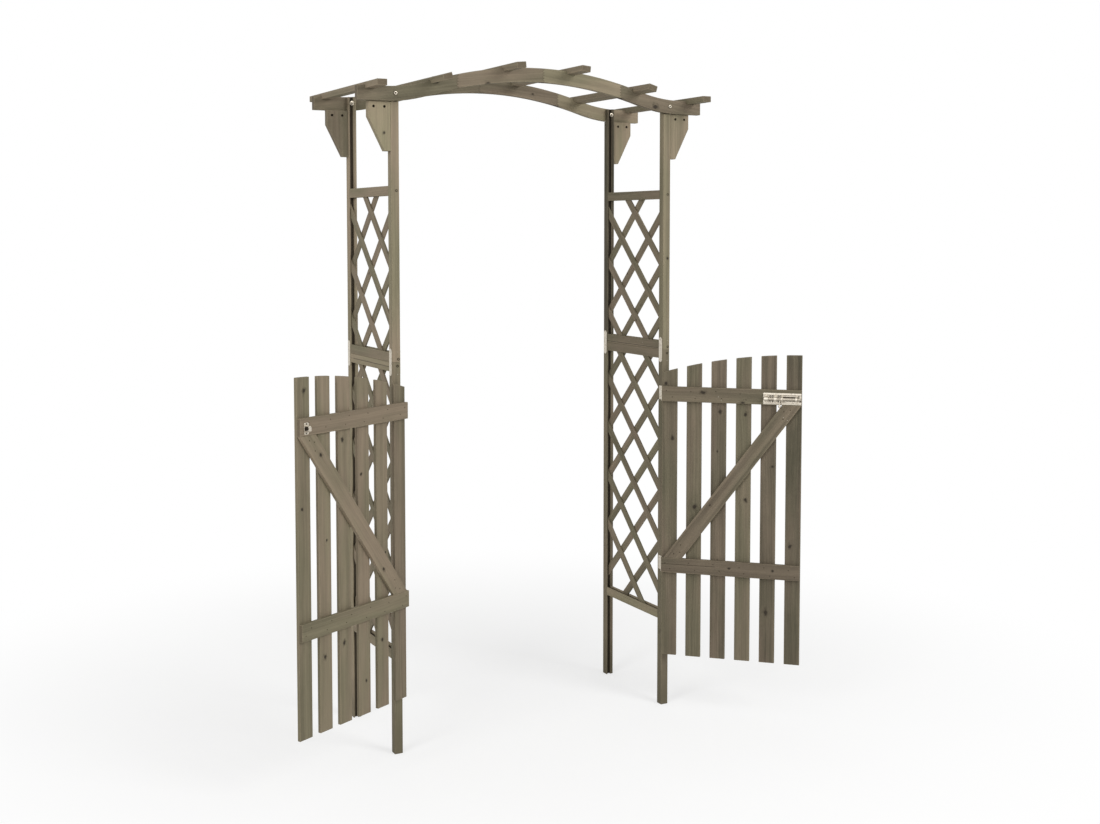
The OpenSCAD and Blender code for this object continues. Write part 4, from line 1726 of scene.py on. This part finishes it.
    def make_nails(self) -> None:
        """Makes the nails: two where a rail crosses a picket, three at each brace end."""
        front, stray, heads = self.flat.moved(w=self.face), self.nail_stray, []
        for number in range(self.pickets):
            middle = self.picket_start(number) + self.wide / 2
            draw = dice(f"{self.side.word}_nails_{number}")
            for z in (self.lower_rail, self.upper_rail):
                for du, dz in self.rail_nails:
                    heads.append(nail_head(front.moved(middle + du + draw.uniform(-stray, stray),
                                                       z + dz + draw.uniform(-stray, stray))))
        low, high = self.brace().reshape(2, 2, 2).mean(1)
        for spot, sign in ((low, 1), (high, -1)):
            heads += [nail_head(front.moved(spot[0] + sign * du, spot[1] + sign * dz), self.brace_nail)
                      for du, dz in self.brace_nails]
        metal_piece(f"{self.body}_nails", heads, self.finishes.steel, self.body)
        if self.bright_nails:
            heads = [nail_head(front.moved(u, z)) for u, z in self.bright_nails]
            metal_piece(f"{self.body}_bright_nails", heads, self.finishes.pin, self.body)

    def make_hinge_screws(self) -> None:
        """Makes two screws in each hinge leaf and dresses the hinges themselves in zinc."""
        flat = self.flat
        on_gate = Place(flat.origin, flat.w, Z_AXIS, -flat.u)
        on_post = Place(flat.origin, Y_AXIS, Z_AXIS, -self.side.value * X_AXIS)
        for owner, place, body in (("gate", on_gate, self.body), ("post", on_post, "frame")):
            leaf = place.moved(self.leaf_screw_v, self.wide / 2, self.leaf_thick - self.start)
            screws = [screw_head(leaf.moved(v=z + dz), self.leaf_screw, dz * 300)
                      for z in (self.lower_rail, self.upper_rail)
                      for dz in (-self.leaf_screw_z, self.leaf_screw_z)]
            metal_piece(f"{self.side.word}_{owner}_hinge_screws", screws, self.finishes.zinc, body)
            dress(f"{self.side.word}_{owner}_hinges", self.finishes.zinc)

    def make(self) -> None:
        """Makes the whole gate."""
        self.make_boards()
        self.make_nails()
        self.make_hinge_screws()


def dress(name: str, finish: Material) -> None:
    """Gives a node of the frame its material.

    Args:
        name: Name of the node.
        finish: The material.
    """
    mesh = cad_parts[name].data
    mesh.materials.clear()
    mesh.materials.append(finish)
    LOG.info("%s: dressed in %s", name, finish.name)


@dataclass
class Latch:
    """The barrel bolt on the right gate and the keeper on the left gate."""

    finishes: Finishes
    right: Gate
    left: Gate
    plate_long: float = 0.118
    plate_high: float = 0.036
    plate_thick: float = 0.0015
    sheet: float = 0.0012
    rib: float = 0.0013
    rib_z: float = 0.0125
    rod_radius: float = 0.005
    rod_v: float = 0.034
    rod_z: float = 1.016
    knob_u: float = 0.3775
    knob_radius: float = 0.004
    strap_thick: float = 0.0016
    foot: float = 0.0105
    straps: tuple[Pair, ...] = (
        (0.330, 0.342), (0.360, 0.369), (0.382, 0.3875), (0.4265, 0.432))
    # A dark patch painted as the shadow under the rod, between two straps: from, to and half its height.
    slot: Triple = (0.388, 0.426, 0.0072)
    case_screw: Head = Head(0.0028, 0.0005)
    screw_places: tuple[Pair, ...] = (
        (0.3475, 0.0075), (0.3550, 0.0075), (0.3475, -0.0075), (0.3550, -0.0080), (0.3735, 0.0070),
        (0.3795, 0.0075), (0.3735, -0.0075), (0.3795, -0.0075), (0.4355, 0.0070), (0.4405, -0.0065))
    keeper: Pair = (0.413, 0.430)
    # A dark patch painted as the shade inside the loop.
    keeper_shade: Triple = (0.4145, 0.4285, 0.0055)
    keeper_screw: Head = Head(0.0025, 0.0005)
    keeper_screw_u: float = 0.4215
    keeper_screw_z: float = 0.0122
    loop: Pair = (0.419, 0.427)
    eye: float = 0.006
    eye_wall: float = 0.0022
    eye_bend: float = 0.0025

    def shade(self, patch: Triple, corner: float, place: Place) -> Surface:
        """A thin dark patch of painted shade on a plate, from one u to another and half its height about
        the rod's.
        """
        low, high, half = patch
        return slab(rectangle(low, high, self.rod_z - half, self.rod_z + half), -0.0002, 0.0002, place,
                    Edges(corner, 0.0001, 0.001, 0.0))

    def strap_path(self) -> Array:
        """The bent path of a strap over the rod, in z and v.

        Two flat feet on the plate, short rises and a half circle round the rod.

        Returns:
            The points of the path.
        """
        inner = self.rod_radius + 0.0003 + self.strap_thick / 2
        base = self.right.face + self.plate_thick + self.strap_thick / 2
        bow = arc_path((self.rod_z, self.rod_v), inner, -20, 200, 15)[::-1]
        foot = np.array([[-self.foot, 0.0], [-inner - 0.0012, 0.0]])
        return np.concatenate([foot + (self.rod_z, base), bow, foot[::-1] * -1 + (self.rod_z, base)])

    def make_case(self) -> None:
        """Makes the back plate with its two pressed ribs, the straps and their screws."""
        gate, half = self.right, self.plate_high / 2
        steps = np.linspace(self.rod_z - half, self.rod_z + half, 61)
        away = steps - self.rod_z
        ribs = sum(np.exp(-((away - offset) / self.rib) ** 2) for offset in (-self.rib_z, self.rib_z))
        rim = np.where(np.abs(away) > half - self.sheet, -0.0004, 0.0)
        path = np.stack([steps, gate.face + self.plate_thick / 2 + self.rib * ribs + rim], axis=1)
        parts = [slab(ribbon(path, self.sheet), gate.free_edge - self.plate_long, gate.free_edge, gate.bent,
                      Edges(0.0004, 0.0004, 0.0, 0.0))]
        parts += [slab(ribbon(self.strap_path(), self.strap_thick), first, last, gate.bent,
                       Edges(0.0005, 0.0004, 0.0, 0.0)) for first, last in self.straps]
        metal_piece("latch_case_sheet", parts, self.finishes.zinc, gate.body, ["latch_case"])
        face = gate.flat.moved(w=gate.face + self.plate_thick)
        screws = [screw_head(face.moved(u, self.rod_z + dz), self.case_screw, u * 700)
                  for u, dz in self.screw_places]
        # The painted shadow under the rod.
        screws.append(self.shade(self.slot, 0.001, face))
        metal_piece("latch_case_screws", screws, self.finishes.steel, gate.body)

    def make_rod(self) -> None:
        """Makes the rod with a domed tip, and the knob that hangs from it."""
        flat, radius, round_end = self.right.flat, self.rod_radius, 0.003
        tail, tip = self.right.free_edge - self.plate_long + 0.002, self.right.free_edge - 0.002
        dome = arc_path((0, 0), 1.0, 0, 90, 6) * (radius, round_end) + (0, tip - round_end)
        dome[-1, 0] = 0.0
        profile = np.concatenate([[[0, tail], [radius - 0.0006, tail], [radius, tail + 0.0006],
                                   [radius, tail + 0.0012], [radius, tip - 0.004]], dome])
        axis = Place(flat.moved(v=self.rod_z, w=self.rod_v).origin, flat.w, Z_AXIS, flat.u)
        ball = arc_path((0, -0.024), self.knob_radius, -90, 62, 12)
        ball[0, 0] = 0.0
        neck = [[0.0019, -0.0195], [0.0018, -0.017], [0.0019, -0.008], [0.0024, -0.0062], [0.0024, -0.004],
                [0.0, -0.004]]
        knob = turned_form(np.concatenate([ball, neck]),
                           Place(axis.moved(w=self.knob_u).origin, flat.u, flat.w, Z_AXIS))
        rod = turned_form(profile, axis, 28)
        metal_piece("latch_rod_bar", [rod], self.finishes.bare, "bolt_rod", ["latch_rod"])
        metal_piece("latch_rod_knob", [knob], self.finishes.zinc, "bolt_rod")

    def make_keeper(self) -> None:
        """Makes the keeper: a plate and a square-shouldered loop of bent strip, with screws."""
        gate, half = self.left, self.plate_high / 2 - 0.002
        bent = gate.bent
        outline = rectangle(self.rod_z - half, self.rod_z + half, *self.keeper)
        lying = Place(bent.origin, Z_AXIS, bent.w, bent.v)
        plate = slab(outline, gate.face, gate.face + self.plate_thick, lying,
                     Edges(0.003, 0.0004, 0.001, 0.0, 5))
        base = gate.face + self.plate_thick + self.eye_wall / 2
        side = self.eye + self.eye_wall / 2
        top = self.rod_v + side
        rise = np.array([[-self.foot, base], [-side, base], [-side, top - self.eye_bend],
                         [-side + self.eye_bend, top]])
        path = np.concatenate([rise, rise[::-1] * (-1, 1)]) + (self.rod_z, 0.0)
        loop = slab(ribbon(path, self.eye_wall), *self.loop, bent, Edges(0.0006, 0.0005, 0.0, 0.0))
        metal_piece("latch_keeper_strip", [plate, loop], self.finishes.zinc, gate.body, ["latch_keeper"])
        face = gate.flat.moved(w=gate.face + self.plate_thick)
        screws = [screw_head(face.moved(self.keeper_screw_u, self.rod_z + dz), self.keeper_screw, dz * 90)
                  for dz in (-self.keeper_screw_z, self.keeper_screw_z)]
        # The painted shade inside the loop.
        screws.append(self.shade(self.keeper_shade, 0.002, face))
        metal_piece("latch_keeper_screws", screws, self.finishes.steel, gate.body)

    def make(self) -> None:
        """Makes the whole latch."""
        self.make_case()
        self.make_rod()
        self.make_keeper()


# ---- studio


@dataclass(frozen=True)
class Lamp:
    """A large soft lamp that looks at one point."""

    name: str
    place: Triple
    size: float
    power: float
    aim: Triple = (0.0, 0.0, 1.2)


@dataclass(frozen=True)
class Studio:
    """The pale floor, the light and the camera."""

    eye: Triple = (-1.9555, -3.9491, 1.5381)
    yaw: float = 27.9625
    pitch: float = 3.5505
    lens: float = 45.6315
    shift: float = -0.086
    sky: float = 0.50
    floor: float = 30.0
    lamps: tuple[Lamp, ...] = (
        Lamp("key", (1.8, -4.0, 3.1), 2.2, 110.0), Lamp("fill", (-4.5, -2.6, 3.0), 2.6, 130.0))

    def make_floor(self) -> None:
        """Makes the floor, a wide plane that fades to plain white away from the object.

        Near the object it is mostly plain white, and the rest is a matt pale surface
        that takes the shadow. Further off, for rays from the camera and its
        reflections, it turns into even white.
        """
        corners = rectangle(-self.floor, self.floor, -self.floor, self.floor)
        mesh = bpy.data.meshes.new("floor")
        mesh.from_pydata([(x, y, 0) for x, y in corners.tolist()], [], [(0, 1, 2, 3)])
        material, graph, shader = new_material("pale_floor")
        place = graph.room()
        tone = graph.span(graph.noise(place, 1.3, 4.0), 0.3, 0.7)
        graph.feed(shader, {"Base Color": graph.mix(tone, (0.93, 0.93, 0.925, 1), (0.95, 0.95, 0.945, 1)),
                            "Roughness": 0.9})
        away = graph.span(graph.vector("LENGTH", {0: place}), 0.6, 2.4, 0.6, 1.0)
        white = graph.node("ShaderNodeEmission", {"Color": (1, 1, 1, 1), "Strength": 1.0})
        graph.show("Material Output", graph.times(away, graph.seen()), shader, white)
        mesh.materials.append(material)
        add_object("floor", mesh)

    def make_sky(self) -> None:
        """Makes an even white world that is dimmer as a light than it looks."""
        world = bpy.data.worlds.new("studio")
        bpy.context.scene.world = world
        world.use_nodes = True
        graph = Graph(world.node_tree)
        soft, bright = [graph.node("ShaderNodeBackground", {"Color": (1, 1, 1, 1), "Strength": strength})
                        for strength in (self.sky, 1.0)]
        graph.show("World Output", graph.seen(), soft, bright)

    def make_lamps(self) -> None:
        """Makes the lamps, each turned to look at its aim."""
        for lamp in self.lamps:
            data = bpy.data.lights.new(lamp.name, "AREA")
            data.shape = "DISK"
            data.size = lamp.size
            data.energy = lamp.power
            made = add_object(lamp.name, data)
            made.location = lamp.place
            look = Vector(lamp.aim) - Vector(lamp.place)
            made.rotation_euler = look.to_track_quat("-Z", "Y").to_euler()

    def make_camera(self) -> None:
        """Makes the camera, set up for a view 1100 wide and 824 high."""
        data = bpy.data.cameras.new("camera")
        data.sensor_fit = "HORIZONTAL"
        data.sensor_width = 36.0
        data.lens = self.lens
        data.shift_y = self.shift
        data.clip_end = 200.0
        camera = add_object("camera", data)
        camera.location = self.eye
        camera.rotation_euler = (math.radians(90 - self.pitch), 0.0, -math.radians(self.yaw))
        bpy.context.scene.camera = camera

    def make(self) -> None:
        """Makes floor, world, lamps and camera."""
        self.make_floor()
        self.make_sky()
        self.make_lamps()
        self.make_camera()
        bpy.context.scene.view_settings.view_transform = "Standard"


# ---- looks of the boards


def board_looks() -> dict[str, Look]:
    """The looks of the boards, by their names; along is the height for a post or picket.

    Their lightness is partly painted light and shade: boards that stand in less light
    are made darker, and those in more light lighter.
    """
    return {
        "left_front_lower_post": Look(-0.05, 0.45, (Knot(0.36, 0.004, 0.005),)),
        "left_front_upper_post": Look(0.2, 0.40),
        "left_back_lower_post": Look(0.45, 0.5),
        "left_back_upper_post": Look(0.4, 0.55),
        "right_front_lower_post": Look(-0.2, 0.35, (Knot(0.24, -0.006, 0.005),)),
        "right_front_upper_post": Look(0.14, 0.2, (Knot(1.45, 0.003, 0.004),)),
        "right_back_lower_post": Look(-0.05, 0.4),
        "right_back_upper_post": Look(-0.6, 0.3),
        "left_upper_rail_high": Look(0.2, 0.5),
        "left_upper_rail_low": Look(0.05, 0.45),
        "left_lower_rail_high": Look(0.32, 0.4, (), (-0.163, 0.14, 0.014)),
        "left_lower_rail_low": Look(0.1, 0.5),
        "right_upper_rail_high": Look(-0.15, 0.45),
        "right_upper_rail_low": Look(-0.1, 0.55, (), (-0.163, 0.163, 0.005)),
        "right_lower_rail_high": Look(-0.15, 0.55),
        "right_lower_rail_low": Look(0.4, 0.35),
        "front_beam_length_1": Look(-0.2, 0.55, (Knot(0.09, 0.004, 0.005),)),
        "front_beam_length_2": Look(-0.05, 0.65, (Knot(-0.045, -0.012, 0.006),)),
        "front_beam_length_3": Look(0.3, 0.30),
        "front_beam_length_4": Look(-0.14, 0.55, (Knot(-0.018, -0.024, 0.008),)),
        "back_beam_length_1": Look(-0.1, 0.35),
        "back_beam_length_2": Look(-0.25, 0.25),
        "back_beam_length_3": Look(-0.2, 0.6, (Knot(0.05, 0.005, 0.004),)),
        "back_beam_length_4": Look(0.42, 0.5),
        "left_front_bracket": Look(0.45, 0.4, (Knot(-0.09, 0.02, 0.004),)),
        "right_front_bracket": Look(0.08, 0.35),
        "left_back_bracket": Look(-0.2, 0.6),
        "right_back_bracket": Look(0.4, 0.5),
        "left_picket_1": Look(-0.1, 0.55),
        "left_picket_2": Look(0.1, 0.5, (Knot(0.37, 0.004, 0.005), Knot(0.62, -0.012, 0.003))),
        "left_picket_3": Look(0.1, 0.55, (Knot(0.27, -0.005, 0.004), Knot(0.86, 0.010, 0.004))),
        "left_picket_4": Look(0.15, 0.45, (Knot(0.966, 0.006, 0.006), Knot(0.40, 0.006, 0.006))),
        "left_picket_5": Look(0.2, 0.6, (Knot(0.38, 0.004, 0.006), Knot(0.7, -0.006, 0.003))),
        "left_picket_6": Look(0.05, 0.25, (Knot(1.115, -0.004, 0.006), Knot(0.8, 0.008, 0.004))),
        "left_gate_brace": Look(0.25, 0.6, (Knot(0.24, 0.004, 0.006), Knot(-0.2, -0.008, 0.005))),
        "left_gate_top_rail": Look(0.1, 0.65),
        "left_gate_lower_rail": Look(0.05, 0.15),
        "right_picket_1": Look(-0.3, 0.6, (Knot(1.052, -0.012, 0.006), Knot(0.878, 0.010, 0.006))),
        "right_picket_2": Look(-0.2, 0.45, (Knot(0.66, 0.004, 0.007),)),
        "right_picket_3": Look(-0.35, 0.75, (Knot(0.967, 0.004, 0.006), Knot(0.84, -0.003, 0.003),
                                            Knot(0.49, 0.0, 0.003))),
        "right_picket_4": Look(-0.15, 0.2, (Knot(0.961, 0.006, 0.006), Knot(0.69, 0.008, 0.006))),
        "right_picket_5": Look(-0.35, 0.85, (Knot(0.335, -0.004, 0.007), Knot(0.8, 0.014, 0.004))),
        "right_picket_6": Look(-0.45, 0.6, (Knot(0.55, -0.008, 0.006),)),
        "right_gate_brace": Look(-0.3, 0.4, (Knot(-0.1, 0.01, 0.003),)),
        "right_gate_top_rail": Look(-0.2, 0.65, (Knot(0.137, 0.008, 0.006), Knot(0.262, -0.021, 0.006))),
        "right_gate_lower_rail": Look(-0.36, 0.75, (Knot(0.222, 0.002, 0.004), Knot(0.36, 0.004, 0.004)),
                                      (0.0, 0.178, 0.004)),
    }


def main() -> None:
    """Builds the arch in order, then the studio."""
    logging.basicConfig(level=logging.INFO, format="%(name)s %(message)s")
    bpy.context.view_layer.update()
    plan, finishes, looks = Plan(), Finishes.mix_all(), board_looks()
    for side in Side:
        Tower(plan, finishes, looks, side).make()
    Roof(plan, finishes, looks).make()
    left = Gate(plan, finishes, looks, Side.LEFT, 152.0)
    right = Gate(plan, finishes, looks, Side.RIGHT, 136.0,
                 ((0.185, 1.016), (0.194, 1.004), (0.389, 0.958), (0.401, 0.949)))
    left.make()
    right.make()
    Latch(finishes, right, left).make()
    Studio().make()


if __name__ == "__main__":
    main()
